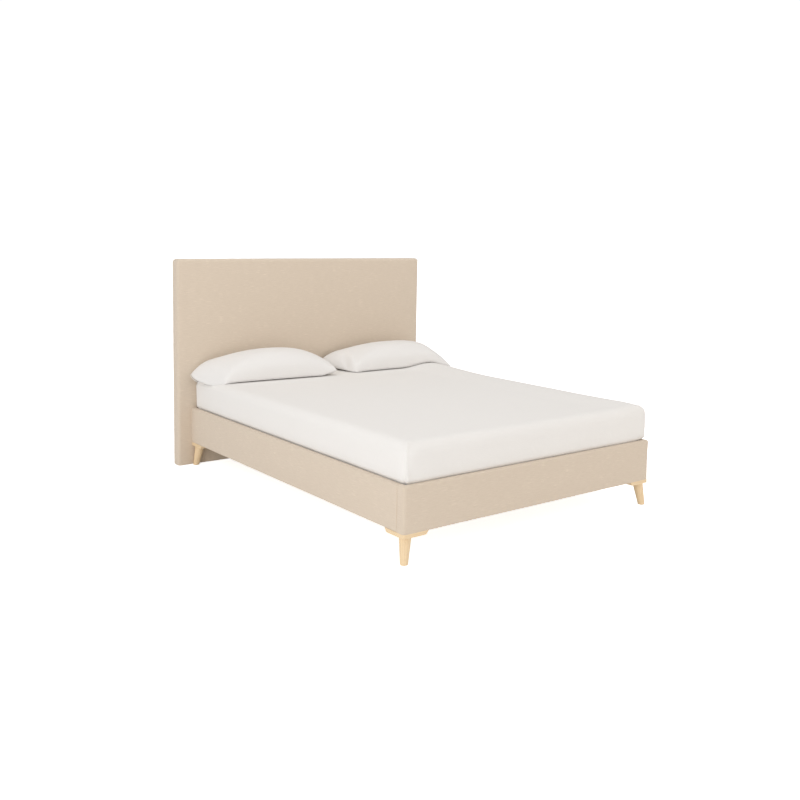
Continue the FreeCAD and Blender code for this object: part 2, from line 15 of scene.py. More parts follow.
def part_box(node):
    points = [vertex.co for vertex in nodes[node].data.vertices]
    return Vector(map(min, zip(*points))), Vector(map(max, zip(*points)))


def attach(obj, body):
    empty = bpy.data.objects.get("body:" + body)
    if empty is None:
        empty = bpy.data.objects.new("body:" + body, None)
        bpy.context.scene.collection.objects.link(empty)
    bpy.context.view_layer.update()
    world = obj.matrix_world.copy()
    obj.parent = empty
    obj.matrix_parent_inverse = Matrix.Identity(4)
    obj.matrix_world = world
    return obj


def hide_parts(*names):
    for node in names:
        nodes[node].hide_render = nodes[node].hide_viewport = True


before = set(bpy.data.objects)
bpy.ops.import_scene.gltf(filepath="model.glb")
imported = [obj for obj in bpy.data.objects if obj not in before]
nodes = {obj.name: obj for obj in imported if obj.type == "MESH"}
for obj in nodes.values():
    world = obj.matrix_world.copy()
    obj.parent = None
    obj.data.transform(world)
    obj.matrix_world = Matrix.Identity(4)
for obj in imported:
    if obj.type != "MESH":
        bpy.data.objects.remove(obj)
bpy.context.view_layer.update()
scene = bpy.context.scene

# %% [markdown]
# ## Where things are
# Nothing is measured by eye. Each soft piece takes its place from the box of the CAD piece that
# it stands for, so it fits even if the bed's sizes change.

# %% Places of the padded pieces
rail_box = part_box("side_rail_cover_left")
foot_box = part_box("foot_cover")
head_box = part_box("headboard_cover")
sheet_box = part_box("fitted_sheet")
mattress_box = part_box("mattress")
half_width = foot_box[1].x
head_face = head_box[0].y
slat_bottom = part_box("slat_01")[0].z
ledger_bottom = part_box("slat_ledger_left")[0].z
rail_thickness = rail_box[1].x - rail_box[0].x
print("rail thickness", round(rail_thickness, 4), "well to headboard", round(head_face, 3))

# %% [markdown]
# ## Camera
# A product camera stands off the left foot corner at eye height, with a portrait-length lens so
# the long side doesn't stretch. The lens is shifted a little, as a view camera's is, to keep
# the headboard upright in the frame.

# %% Camera
CAMERA_PLACE = Vector((-3.073, -4.033, 1.389))
CAMERA_YAW = math.radians(37.93)
CAMERA_PITCH = math.radians(-6.02)
CAMERA_ROLL = math.radians(1.05)
CAMERA_LENS = 41.8
CAMERA_SHIFT = (-0.0175, -0.0875)

forward = Vector((
    math.sin(CAMERA_YAW) * math.cos(CAMERA_PITCH),
    math.cos(CAMERA_YAW) * math.cos(CAMERA_PITCH),
    math.sin(CAMERA_PITCH)))
level_right = Vector((math.cos(CAMERA_YAW), -math.sin(CAMERA_YAW), 0.0))
level_up = level_right.cross(forward)
right = math.cos(CAMERA_ROLL) * level_right + math.sin(CAMERA_ROLL) * level_up
up = math.cos(CAMERA_ROLL) * level_up - math.sin(CAMERA_ROLL) * level_right
turn = Matrix((right, up, -forward)).transposed().to_4x4()

camera = bpy.data.objects.new("camera", bpy.data.cameras.new("camera"))
scene.collection.objects.link(camera)
camera.matrix_world = Matrix.Translation(CAMERA_PLACE) @ turn
camera.data.lens = CAMERA_LENS
camera.data.shift_x, camera.data.shift_y = CAMERA_SHIFT
camera.data.clip_end = 200.0
scene.camera = camera
print("camera", tuple(round(v, 3) for v in camera.location), "lens", camera.data.lens)

# %% [markdown]
# ## Helpers for meshes
# Every soft piece is a mesh made from lists of points and faces. These helpers make the
# object, round a block's edges, and read or move its points with NumPy arrays.


# %% Mesh helpers
def new_piece(name, points, faces, cloth_uv=None):
    """A smooth mesh object; cloth_uv gives each point's place on the cloth."""
    mesh = bpy.data.meshes.new(name)
    mesh.from_pydata([tuple(p) for p in points], [], faces)
    mesh.update()
    piece = bpy.data.objects.new(name, mesh)
    scene.collection.objects.link(piece)
    mesh.shade_smooth()
    if cloth_uv is not None:
        layer = mesh.uv_layers.new(name="cloth")
        corner_points = np.empty(len(mesh.loops), dtype=np.int64)
        mesh.loops.foreach_get("vertex_index", corner_points)
        layer.uv.foreach_set("vector", np.asarray(cloth_uv, dtype=np.float32)[corner_points].ravel())
    return piece


def read_points(piece):
    """The piece's points as an array of rows."""
    flat = np.empty(len(piece.data.vertices) * 3)
    piece.data.vertices.foreach_get("co", flat)
    return flat.reshape(-1, 3)


def read_normals(piece):
    """The piece's point normals as an array of rows."""
    flat = np.empty(len(piece.data.vertices) * 3, dtype=np.float32)
    piece.data.vertex_normals.foreach_get("vector", flat)
    return flat.reshape(-1, 3).astype(float)


def write_points(piece, points):
    """Moves the piece's points to those rows."""
    piece.data.vertices.foreach_set("co", np.asarray(points, dtype=np.float32).ravel())
    piece.data.update()


def waves(points, size, seed, stretch=(1.0, 1.0, 1.0)):
    """Smooth noise from about -1 to 1 at each point; size is a wave's rough length in metres."""
    shift = Vector((seed * 7.13, seed * 3.71, seed * 5.37))
    scale = Vector(stretch) / size
    return np.array([noise.noise(Vector(p) * scale + shift) for p in points])


def apply_modifiers(piece):
    """The piece's mesh with its modifiers worked in, and no modifiers left."""
    evaluated = piece.evaluated_get(bpy.context.evaluated_depsgraph_get())
    mesh = bpy.data.meshes.new_from_object(evaluated)
    old = piece.data
    piece.modifiers.clear()
    piece.data = mesh
    mesh.name = piece.name
    bpy.data.meshes.remove(old)
    mesh.shade_smooth()


def thicken(piece, thickness):
    """Gives a skin its real thickness, added on the inside."""
    solid = piece.modifiers.new("thickness", "SOLIDIFY")
    solid.thickness = thickness
    solid.offset = -1.0
    solid.use_even_offset = False
    apply_modifiers(piece)


def refine(piece):
    """One level of subdivision surface, worked in."""
    sub = piece.modifiers.new("refine", "SUBSURF")
    sub.levels = sub.render_levels = 1
    apply_modifiers(piece)


def cut_opening(points, faces, flat, is_open):
    """Leaves out the faces whose points all lie in the opening, and the points that no face needs."""
    faces = [face for face in faces if not all(is_open[i] for i in face)]
    used = sorted({i for face in faces for i in face})
    renumber = {old: new for new, old in enumerate(used)}
    return points[used], [[renumber[i] for i in face] for face in faces], flat[used]


print("mesh helpers ready")


# %% [markdown]
# ## Shader groups
# Several finishes share an effect, so each effect is built once as a node group with named
# inputs: the crossing threads of a cloth, the slubs of a linen yarn, and the grain of wood.
# A group hands out colours, masks and heights. The Principled shader stays in each material.


# %% Small node helpers
def node_group(name, inputs, outputs, kind_of_tree="ShaderNodeTree"):
    """An empty node tree; inputs are (name, kind, default) rows, outputs (name, kind) rows."""
    group = bpy.data.node_groups.new(name, kind_of_tree)
    for socket_name, kind, default in inputs:
        socket = group.interface.new_socket(socket_name, in_out="INPUT", socket_type=kind)
        if default is not None:
            socket.default_value = default
    for socket_name, kind in outputs:
        group.interface.new_socket(socket_name, in_out="OUTPUT", socket_type=kind)
    return group, group.nodes.new("NodeGroupInput"), group.nodes.new("NodeGroupOutput")


def add_node(tree, kind, **settings):
    """A new node with its settings."""
    node = tree.nodes.new(kind)
    for key, value in settings.items():
        setattr(node, key, value)
    return node


def feed(tree, socket, value):
    """Links an output into a socket, or sets a plain value on it."""
    if isinstance(value, bpy.types.NodeSocket):
        tree.links.new(value, socket)
    else:
        socket.default_value = value


def wire_up(tree, *pairs):
    """Links each output to the input it is paired with."""
    for output, socket in pairs:
        tree.links.new(output, socket)


def times(tree, a, b):
    """The product, as a node's output."""
    return math_node(tree, "MULTIPLY", a, b)


def plus(tree, a, b):
    """The sum, as a node's output."""
    return math_node(tree, "ADD", a, b)


def math_node(tree, operation, a, b=0.0, c=None, clamp=False):
    """The output of a Math node; a, b and c are outputs or numbers."""
    node = add_node(tree, "ShaderNodeMath", operation=operation, use_clamp=clamp)
    feed(tree, node.inputs[0], a)
    feed(tree, node.inputs[1], b)
    if c is not None:
        feed(tree, node.inputs[2], c)
    return node.outputs[0]


def mapped(tree, vector, scale, rotation=(0, 0, 0)):
    """The vector, turned and scaled."""
    node = add_node(tree, "ShaderNodeMapping")
    feed(tree, node.inputs["Vector"], vector)
    node.inputs["Scale"].default_value = scale
    node.inputs["Rotation"].default_value = rotation
    return node.outputs[0]


def noise_node(tree, vector, scale, detail=2.0, roughness=0.5, distortion=0.0):
    """Soft noise from 0 to 1 at the vector's place."""
    node = add_node(tree, "ShaderNodeTexNoise")
    feed(tree, node.inputs["Vector"], vector)
    feed(tree, node.inputs["Scale"], scale)
    node.inputs["Detail"].default_value = detail
    node.inputs["Roughness"].default_value = roughness
    node.inputs["Distortion"].default_value = distortion
    return node.outputs["Fac"]


def streaks(tree, place, scale, detail=2.0):
    """Noise stretched along the axes that have a small scale."""
    return noise_node(tree, mapped(tree, place, scale), 1.0, detail=detail)


def ramp(tree, value, low, high, to_low=0.0, to_high=1.0):
    """A straight ramp from low..high to to_low..to_high, held at both ends."""
    node = add_node(tree, "ShaderNodeMapRange")
    feed(tree, node.inputs["Value"], value)
    for name, number in (("From Min", low), ("From Max", high), ("To Min", to_low), ("To Max", to_high)):
        node.inputs[name].default_value = number
    return node.outputs["Result"]


def mix_colour(tree, factor, a, b):
    """The colour between a and b at that factor."""
    node = add_node(tree, "ShaderNodeMix", data_type="RGBA", blend_type="MIX")
    feed(tree, node.inputs["Factor"], factor)
    feed(tree, node.inputs["A"], a)
    feed(tree, node.inputs["B"], b)
    return node.outputs["Result"]


print("node helpers ready")


# %% [markdown]
# ### Crossing threads
# A plain weave is two sets of threads that pass over and under each other. The product of two
# sine waves gives that chequer of little humps. A touch of noise first bends the lines, because
# hand-spun yarn never runs quite straight.

# %% Weave group
weave, weave_in, weave_out = node_group(
    "plain_weave",
    [("Cloth", "NodeSocketVector", None), ("Threads per metre", "NodeSocketFloat", 800.0),
     ("Wander", "NodeSocketFloat", 0.3)],
    [("Height", "NodeSocketFloat"), ("Tone", "NodeSocketFloat")])
split = add_node(weave, "ShaderNodeSeparateXYZ")
weave.links.new(weave_in.outputs["Cloth"], split.inputs[0])
wander = noise_node(weave, weave_in.outputs["Cloth"], 90.0, detail=1.0)
wander = times(weave, math_node(weave, "SUBTRACT", wander, 0.5), weave_in.outputs["Wander"])
thread_waves = []
for axis in (0, 1):
    along = times(weave, split.outputs[axis], weave_in.outputs["Threads per metre"])
    along = plus(weave, along, times(weave, wander, 6.0))
    thread_waves.append(math_node(weave, "SINE", times(weave, along, math.pi)))
height = math_node(weave, "MULTIPLY_ADD", times(weave, *thread_waves), 0.5, 0.5)
weave.links.new(height, weave_out.inputs["Height"])
warp_tone = streaks(weave, weave_in.outputs["Cloth"], (400.0, 60.0, 1.0))
weft_tone = streaks(weave, weave_in.outputs["Cloth"], (26.0, 400.0, 1.0))
tone = math_node(weave, "MULTIPLY_ADD", warp_tone, 0.3, times(weave, weft_tone, 0.7))
weave.links.new(tone, weave_out.inputs["Tone"])
print("group", weave.name, len(weave.nodes), "nodes")

# %% [markdown]
# ### Slubs
# Linen yarn has thick spots. On the cloth they show as short pale dashes along the weft. Noise
# stretched a long way sideways and cut off high leaves just a scatter of such dashes.

# %% Slub group
slubs, slub_in, slub_out = node_group(
    "linen_slubs",
    [("Cloth", "NodeSocketVector", None), ("Amount", "NodeSocketFloat", 1.0)],
    [("Mask", "NodeSocketFloat")])
dashes = streaks(slubs, slub_in.outputs["Cloth"], (24.0, 300.0, 1.0), 0.0)
dashes = ramp(slubs, dashes, 0.60, 0.78)
patches = streaks(slubs, slub_in.outputs["Cloth"], (11.0, 17.0, 1.0), 1.0)
patches = ramp(slubs, patches, 0.45, 0.62)
slub_mask = math_node(
    slubs, "MULTIPLY", times(slubs, dashes, patches), slub_in.outputs["Amount"], clamp=True)
slubs.links.new(slub_mask, slub_out.inputs["Mask"])
print("group", slubs.name, len(slubs.nodes), "nodes")

# %% [markdown]
# ### Wood grain
# Boards are sawn along the tree, so growth rings show as long wavering lines. The group takes a
# place whose X runs along the grain: the rings are bands of warped distance across it, and fine
# stretched noise gives the pores.

# %% Grain group
grain, grain_in, grain_out = node_group(
    "wood_grain",
    [("Place", "NodeSocketVector", None), ("Ring spacing", "NodeSocketFloat", 0.012),
     ("Waver", "NodeSocketFloat", 0.02)],
    [("Rings", "NodeSocketFloat"), ("Pores", "NodeSocketFloat"), ("Blotch", "NodeSocketFloat")])
slow = streaks(grain, grain_in.outputs["Place"], (1.1, 7.0, 7.0), 2.0)
across = add_node(grain, "ShaderNodeSeparateXYZ")
grain.links.new(grain_in.outputs["Place"], across.inputs[0])
reach = plus(grain, across.outputs["Y"], times(grain, across.outputs["Z"], 0.6))
reach = plus(grain, reach, times(grain, slow, times(grain, grain_in.outputs["Waver"], 6.0)))
rings = math_node(grain, "FRACT", math_node(grain, "DIVIDE", reach, grain_in.outputs["Ring spacing"]))
rings = math_node(grain, "POWER", rings, 2.5)
grain.links.new(rings, grain_out.inputs["Rings"])
pores = streaks(grain, grain_in.outputs["Place"], (14.0, 900.0, 900.0), 1.0)
grain.links.new(ramp(grain, pores, 0.56, 0.72), grain_out.inputs["Pores"])
blotch = streaks(grain, grain_in.outputs["Place"], (2.5, 9.0, 9.0), 1.0)
grain.links.new(blotch, grain_out.inputs["Blotch"])
print("group", grain.name, len(grain.nodes), "nodes")


# %% [markdown]
# ## Materials
# Each finish is one function or one short cell. All of them start from the same place: a
# Principled shader whose plain numbers are set on its sockets.


# %% Start of every material
def new_material(name, roughness=0.6, metallic=0.0, **sockets):
    """A node material with its Principled shader ready; returns the material, its tree and shader."""
    material = bpy.data.materials.new(name)
    material.use_nodes = True
    shader = material.node_tree.nodes["Principled BSDF"]
    shader.inputs["Roughness"].default_value = roughness
    shader.inputs["Metallic"].default_value = metallic
    for socket, value in sockets.items():
        shader.inputs[socket.replace("_", " ")].default_value = value
    return material, material.node_tree, shader


def place_group(tree, group, **inputs):
    """A group node in a material, with inputs given by name."""
    node = add_node(tree, "ShaderNodeGroup", node_tree=group)
    for name, value in inputs.items():
        feed(tree, node.inputs[name.replace("_", " ")], value)
    return node


def paint(tree, shader, factor, first, second):
    """A base colour that goes from the first to the second as the factor rises."""
    tree.links.new(mix_colour(tree, factor, first, second), shader.inputs["Base Color"])


def bump_node(tree, shader, height, distance, strength=1.0, after=None):
    """Bump from a height in metres into the shader's normal."""
    node = add_node(tree, "ShaderNodeBump")
    node.inputs["Strength"].default_value = strength
    node.inputs["Distance"].default_value = distance
    tree.links.new(height, node.inputs["Height"])
    if after is not None:
        tree.links.new(after, node.inputs["Normal"])
    tree.links.new(node.outputs["Normal"], shader.inputs["Normal"])
    return node.outputs["Normal"]


def cloth_place(tree):
    """The place on the cloth, in metres, from the piece's own unwrapped map."""
    return add_node(tree, "ShaderNodeUVMap", uv_map="cloth").outputs["UV"]


def object_place(tree):
    """The place on the bed, in metres."""
    return add_node(tree, "ShaderNodeTexCoord").outputs["Object"]


print("material helpers ready")


# %% [markdown]
# ### Oatmeal linen
# The upholstery is a matt, slightly heathered linen. Tone comes from the threads, pale dashes
# from the slubs, and a very soft cloud so that large panels don't look printed.


# %% Linen
def linen_material(name, light, dark):
    """Heathered linen between the two tones, with pale slubs."""
    material, tree, shader = new_material(
        name, roughness=0.92, Sheen_Weight=0.18, Sheen_Roughness=0.6, Specular_IOR_Level=0.15)
    cloth = cloth_place(tree)
    threads = place_group(tree, weave, Cloth=cloth, Threads_per_metre=780.0, Wander=0.35)
    slub = place_group(tree, slubs, Cloth=cloth, Amount=1.0)
    tone = ramp(tree, threads.outputs["Tone"], 0.30, 0.70, 0.15, 0.85)
    colour = mix_colour(tree, tone, (*dark, 1), (*light, 1))
    cloud = ramp(tree, noise_node(tree, cloth, 2.3, detail=2.0), 0.3, 0.7, 0.0, 0.10)
    colour = mix_colour(tree, cloud, colour, (*dark, 1))
    pale = tuple(min(1.0, v * 1.11) for v in light)
    slub_share = times(tree, slub.outputs["Mask"], 0.52)
    colour = mix_colour(tree, slub_share, colour, (*pale, 1))
    tree.links.new(colour, shader.inputs["Base Color"])
    heights = plus(tree, threads.outputs["Height"], times(tree, slub.outputs["Mask"], 1.2))
    bump_node(tree, shader, heights, 0.00035, strength=0.55)
    return material


LINEN_LIGHT = (0.717, 0.613, 0.499)
LINEN_DARK = (0.619, 0.514, 0.404)
linen = linen_material("oatmeal_linen", LINEN_LIGHT, LINEN_DARK)
print("material", linen.name)

# %% [markdown]
# ### White cotton
# Percale is fine enough that single threads barely show. What the eye reads is the faint cloud
# of ironed-out creases, so the bump is mostly a low, soft one.


# %% Cotton
def cotton_material(name, colour, crease, crease_size):
    """Fine white cotton with faint creases of that depth and scale."""
    material, tree, shader = new_material(
        name, roughness=0.85, Sheen_Weight=0.12, Sheen_Roughness=0.5, Specular_IOR_Level=0.2)
    cloth = cloth_place(tree)
    threads = place_group(tree, weave, Cloth=cloth, Threads_per_metre=2400.0, Wander=0.1)
    tone = ramp(tree, threads.outputs["Tone"], 0.35, 0.65, 0.0, 0.35)
    shade = tuple(v * 0.955 for v in colour)
    paint(tree, shader, tone, (*colour, 1), (*shade, 1))
    creases = noise_node(tree, cloth, crease_size, detail=3.0, roughness=0.55, distortion=0.6)
    soft = bump_node(tree, shader, creases, crease)
    bump_node(tree, shader, threads.outputs["Height"], 0.0001, strength=0.4, after=soft)
    return material


sheet_cotton = cotton_material("sheet_percale", (0.825, 0.80, 0.77), 0.004, 6.0)
pillow_cotton = cotton_material("pillow_percale", (0.808, 0.787, 0.765), 0.003, 11.0)
print("materials", sheet_cotton.name, pillow_cotton.name)

# %% [markdown]
# ### Wood
# Pale oak for the legs and corner plates, plain pine for slats and frame parts. The grain runs
# along each piece, so the material first turns the bed's axes until X lies along the board.

# %% Wood materials
ALONG = {"x": (0.0, 0.0, 0.0), "y": (0.0, 0.0, math.pi / 2), "z": (0.0, math.pi / 2, 0.0)}


def wood_material(name, axis, light, dark, ring, waver, roughness, coat=0.0):
    """Wood with its grain along one of the bed's axes."""
    material, tree, shader = new_material(name, roughness=roughness, Coat_Weight=coat, Coat_Roughness=0.35)
    place = mapped(tree, object_place(tree), (1.0, 1.0, 1.0), ALONG[axis])
    wood = place_group(tree, grain, Place=place, Ring_spacing=ring, Waver=waver)
    rings = times(tree, wood.outputs["Rings"], 0.55)
    colour = mix_colour(tree, rings, (*light, 1), (*dark, 1))
    blotch = ramp(tree, wood.outputs["Blotch"], 0.35, 0.65, 0.0, 0.35)
    colour = mix_colour(tree, blotch, colour, (*[(a + b) / 2 for a, b in zip(light, dark)], 1))
    pore_tint = tuple(v * 0.72 for v in dark)
    pores = times(tree, wood.outputs["Pores"], 0.35)
    colour = mix_colour(tree, pores, colour, (*pore_tint, 1))
    tree.links.new(colour, shader.inputs["Base Color"])
    rough = ramp(tree, wood.outputs["Pores"], 0.0, 1.0, roughness, min(1.0, roughness + 0.2))
    tree.links.new(rough, shader.inputs["Roughness"])
    heights = math_node(tree, "SUBTRACT", times(tree, rings, 0.4), wood.outputs["Pores"])
    bump_node(tree, shader, heights, 0.00018, strength=0.5)
    return material


OAK = ((0.875, 0.685, 0.44), (0.715, 0.49, 0.265))
PINE = ((0.83, 0.67, 0.44), (0.66, 0.46, 0.26))
PLY = ((0.70, 0.55, 0.37), (0.55, 0.40, 0.25))
oak = {axis: wood_material(f"pale_oak_{axis}", axis, *OAK, 0.011, 0.010, 0.42, 0.15) for axis in "xyz"}
pine = {axis: wood_material(f"pine_{axis}", axis, *PINE, 0.016, 0.020, 0.62) for axis in "xyz"}
ply = {axis: wood_material(f"plywood_{axis}", axis, *PLY, 0.030, 0.040, 0.70) for axis in "xyz"}
print("woods", len(oak) + len(pine) + len(ply))

# %% [markdown]
# ### Metal, nylon, foam and the plain cloths
# Zinc plate is bright but never even: broad patches of roughness sell it. Moulded nylon has a
# fine spark-eroded skin. Foam is all cells. The back cloth is a non-woven felt with a grid of
# pressed dimples, and the slat tapes are ribbed webbing.

# %% Hard finishes
def mottled_material(name, roughness, tones, mottle, gloss, skin, detail=2.0, **settings):
    """A hard finish: one noise gives its tone and gloss; skin is a bump's noise, depth and strength."""
    material, tree, shader = new_material(name, roughness=roughness, **settings)
    patches = noise_node(tree, object_place(tree), mottle, detail=detail)
    paint(tree, shader, patches, *tones)
    tree.links.new(ramp(tree, patches, 0.3, 0.7, *gloss), shader.inputs["Roughness"])
    skin_noise, depth, strength = skin
    height = noise_node(tree, object_place(tree), skin_noise) if skin_noise else patches
    bump_node(tree, shader, height, depth, strength=strength)
    return material


zinc = mottled_material(
    "zinc_steel", 0.35, ((0.55, 0.56, 0.57, 1), (0.74, 0.74, 0.73, 1)), 60.0, (0.26, 0.48),
    (900.0, 0.00004, 0.4), detail=3.0, metallic=1.0)
nylon = mottled_material(
    "black_nylon", 0.5, ((0.020, 0.020, 0.021, 1), (0.035, 0.035, 0.036, 1)), 1400.0, (0.42, 0.62),
    (None, 0.00006, 0.5))
pale_nylon = mottled_material(
    "pale_nylon", 0.45, ((0.58, 0.53, 0.46, 1), (0.68, 0.63, 0.55, 1)), 1100.0, (0.38, 0.58),
    (None, 0.00005, 0.5))
print("materials", zinc.name, nylon.name, pale_nylon.name)

# %% Foam and inner cloths
foam, tree, shader = new_material("cut_foam", roughness=0.95)
cells = add_node(tree, "ShaderNodeTexVoronoi")
tree.links.new(object_place(tree), cells.inputs["Vector"])
cells.inputs["Scale"].default_value = 420.0
paint(tree, shader, cells.outputs["Distance"], (0.78, 0.72, 0.50, 1), (0.90, 0.85, 0.66, 1))
bump_node(tree, shader, cells.outputs["Distance"], 0.0006, strength=0.7)

felt, tree, shader = new_material("back_felt", roughness=0.95, Sheen_Weight=0.2)
cloth = cloth_place(tree)
dots = place_group(tree, weave, Cloth=cloth, Threads_per_metre=330.0, Wander=0.0)
fluff = noise_node(tree, cloth, 380.0, detail=3.0)
paint(tree, shader, fluff, (0.026, 0.025, 0.024, 1), (0.085, 0.082, 0.079, 1))
felt_height = plus(tree, dots.outputs["Height"], times(tree, fluff, 0.8))
bump_node(tree, shader, felt_height, 0.0003, strength=0.6)

webbing, tree, shader = new_material("tape_webbing", roughness=0.85, Sheen_Weight=0.1)
ribs = place_group(tree, weave, Cloth=object_place(tree), Threads_per_metre=700.0, Wander=0.05)
paint(tree, shader, ribs.outputs["Height"], (0.70, 0.69, 0.65, 1), (0.83, 0.82, 0.79, 1))
bump_node(tree, shader, ribs.outputs["Height"], 0.0003, strength=0.7)

ticking, tree, shader = new_material("mattress_ticking", roughness=0.88, Sheen_Weight=0.15)
cloth = cloth_place(tree)
damask = place_group(tree, weave, Cloth=cloth, Threads_per_metre=60.0, Wander=0.6)
yarn = place_group(tree, weave, Cloth=cloth, Threads_per_metre=1500.0, Wander=0.2)
figure = ramp(tree, damask.outputs["Height"], 0.4, 0.6)
paint(tree, shader, figure, (0.70, 0.69, 0.67, 1), (0.80, 0.79, 0.77, 1))
ticking_height = plus(tree, damask.outputs["Height"], times(tree, yarn.outputs["Height"], 0.3))
bump_node(tree, shader, ticking_height, 0.0006, strength=0.6)
print("materials", foam.name, felt.name, webbing.name, ticking.name)

# %% [markdown]
# ## Blocks with rounded edges
# A padded panel is a box whose edges the foam has rounded. A box is laid out as a lattice of
# points, with extra rows near its edges, and then each pair of meeting faces is bent into a
# quarter round: a point on the square corner slides onto the circle at the same depth.


# %% Lattice block
def steps(low, high, pitch, edge_low, edge_high, extra=(), bend=5):
    """Places from low to high: close together within edge_low and edge_high of the ends."""
    rows = [low + edge_low * (1 - math.cos(math.pi / 2 * i / bend)) for i in range(bend + 1)]
    rows += [high - edge_high * (1 - math.cos(math.pi / 2 * i / bend)) for i in range(bend + 1)]
    inner_low, inner_high = low + edge_low, high - edge_high
    count = max(1, round((inner_high - inner_low) / pitch))
    rows += [inner_low + (inner_high - inner_low) * i / count for i in range(1, count)]
    rows += list(extra)
    rows = sorted(rows)
    return [r for i, r in enumerate(rows) if i == 0 or r - rows[i - 1] > 1e-5]


def lattice_block(xs, ys, zs):
    """Points and outward faces of a box whose faces are divided at xs, ys and zs."""
    index, points, faces = {}, [], []

    def point(i, j, k):
        key = (i, j, k)
        if key not in index:
            index[key] = len(points)
            points.append((xs[i], ys[j], zs[k]))
        return index[key]

    last = len(xs) - 1, len(ys) - 1, len(zs) - 1
    for axis, flips in ((1, (False, True)), (0, (True, False)), (2, (True, False))):
        u_axis, v_axis = (a for a in range(3) if a != axis)
        for end, flip in zip((0, last[axis]), flips):
            for i in range(last[u_axis]):
                for j in range(last[v_axis]):
                    quad = []
                    for u_step, v_step in ((0, 0), (1, 0), (1, 1), (0, 1)):
                        spot = [end, end, end]
                        spot[u_axis], spot[v_axis] = i + u_step, j + v_step
                        quad.append(point(*spot))
                    faces.append(quad[::-1] if flip else quad)
    return np.array(points), faces


def quarter_round(a, b, radius):
    """Depths a and b below two meeting faces, bent onto a quarter round of that radius."""
    u = np.clip(1 - a / radius, 0, None)
    v = np.clip(1 - b / radius, 0, None)
    both = (u > 0) & (v > 0)
    reach = np.hypot(u, v)
    share = np.where(both, np.maximum(u, v) / np.where(reach > 0, reach, 1), 1.0)
    bent_a = np.where(both, radius * (1 - u * share), a)
    bent_b = np.where(both, radius * (1 - v * share), b)
    return bent_a, bent_b


def round_straight_edge(points, first, second, radius):
    """Rounds the edge where two faces meet; each face is (axis, place, outward sign)."""
    (axis_a, face_a, sign_a), (axis_b, face_b, sign_b) = first, second
    a = (face_a - points[:, axis_a]) * sign_a
    b = (face_b - points[:, axis_b]) * sign_b
    a, b = quarter_round(a, b, radius)
    points[:, axis_a] = face_a - a * sign_a
    points[:, axis_b] = face_b - b * sign_b


print("block helpers ready")

# %% [markdown]
# ## Headboard upholstery
# One piece of linen is pulled over the foam, round the sides and top, and stapled to the back
# of the frame. It is made as a block with large front rounds, and the middle of its back is cut
# out, because there the fabric stops. Then the front swells a little between the edges, where
# the foam is free to push out, and the pull of the staples leaves faint dips along the edges.

# %% Headboard cover
HEAD_CORNER_ROUND = 0.022
HEAD_FRONT_ROUND = 0.017
HEAD_BACK_ROUND = 0.004
HEAD_BOTTOM_ROUND = 0.005
HEAD_FLAP = 0.045
HEAD_PITCH = 0.022
SWELL_REACH = 0.25
FABRIC = 0.0013
NEAR = 1e-5

(hx0, hy0, hz0), (hx1, hy1, hz1) = head_box
head_points, head_faces = lattice_block(
    steps(hx0, hx1, HEAD_PITCH, HEAD_CORNER_ROUND, HEAD_CORNER_ROUND, (hx0 + HEAD_FLAP, hx1 - HEAD_FLAP)),
    steps(hy0, hy1, 0.010, HEAD_FRONT_ROUND, HEAD_BACK_ROUND),
    steps(hz0, hz1, HEAD_PITCH, HEAD_BOTTOM_ROUND, HEAD_CORNER_ROUND, (hz0 + HEAD_FLAP, hz1 - HEAD_FLAP)))
flat_head = head_points.copy()
for x_face, sign in ((hx0, -1), (hx1, 1)):
    round_straight_edge(head_points, (0, x_face, sign), (2, hz1, 1), HEAD_CORNER_ROUND)
    round_straight_edge(head_points, (0, x_face, sign), (2, hz0, -1), HEAD_BOTTOM_ROUND)
print("headboard lattice", len(head_points), "points")


# %% Round the headboard's edges
def outline_depth(u, v, low, high, radius):
    """Depth below a round-cornered rectangle's outline, and the outward direction there."""
    middle_u, middle_v = (low[0] + high[0]) / 2, (low[1] + high[1]) / 2
    from_u = (high[0] - low[0]) / 2 - np.abs(u - middle_u)
    from_v = (high[1] - low[1]) / 2 - np.abs(v - middle_v)
    over_u, over_v = radius - from_u, radius - from_v
    corner = (over_u > 0) & (over_v > 0)
    reach = np.maximum(np.hypot(over_u, over_v), 1e-9)
    depth = np.where(corner, radius - reach, np.minimum(from_u, from_v))
    out_u = np.where(corner, over_u / reach, np.where(from_u < from_v, 1.0, 0.0))
    out_v = np.where(corner, over_v / reach, np.where(from_u < from_v, 0.0, 1.0))
    return depth, out_u * np.sign(u - middle_u), out_v * np.sign(v - middle_v)


for y_face, sign, radius in ((hy0, -1, HEAD_FRONT_ROUND), (hy1, 1, HEAD_BACK_ROUND)):
    depth, out_x, out_z = outline_depth(
        head_points[:, 0], head_points[:, 2], (hx0, hz0 - 1.0), (hx1, hz1), HEAD_CORNER_ROUND)
    from_face = (y_face - head_points[:, 1]) * sign
    bent, bent_y = quarter_round(depth, from_face, radius)
    head_points[:, 0] -= out_x * (bent - depth)
    head_points[:, 2] -= out_z * (bent - depth)
    head_points[:, 1] = y_face - bent_y * sign
    round_straight_edge(head_points, (2, hz0, -1), (1, y_face, sign), HEAD_BOTTOM_ROUND)

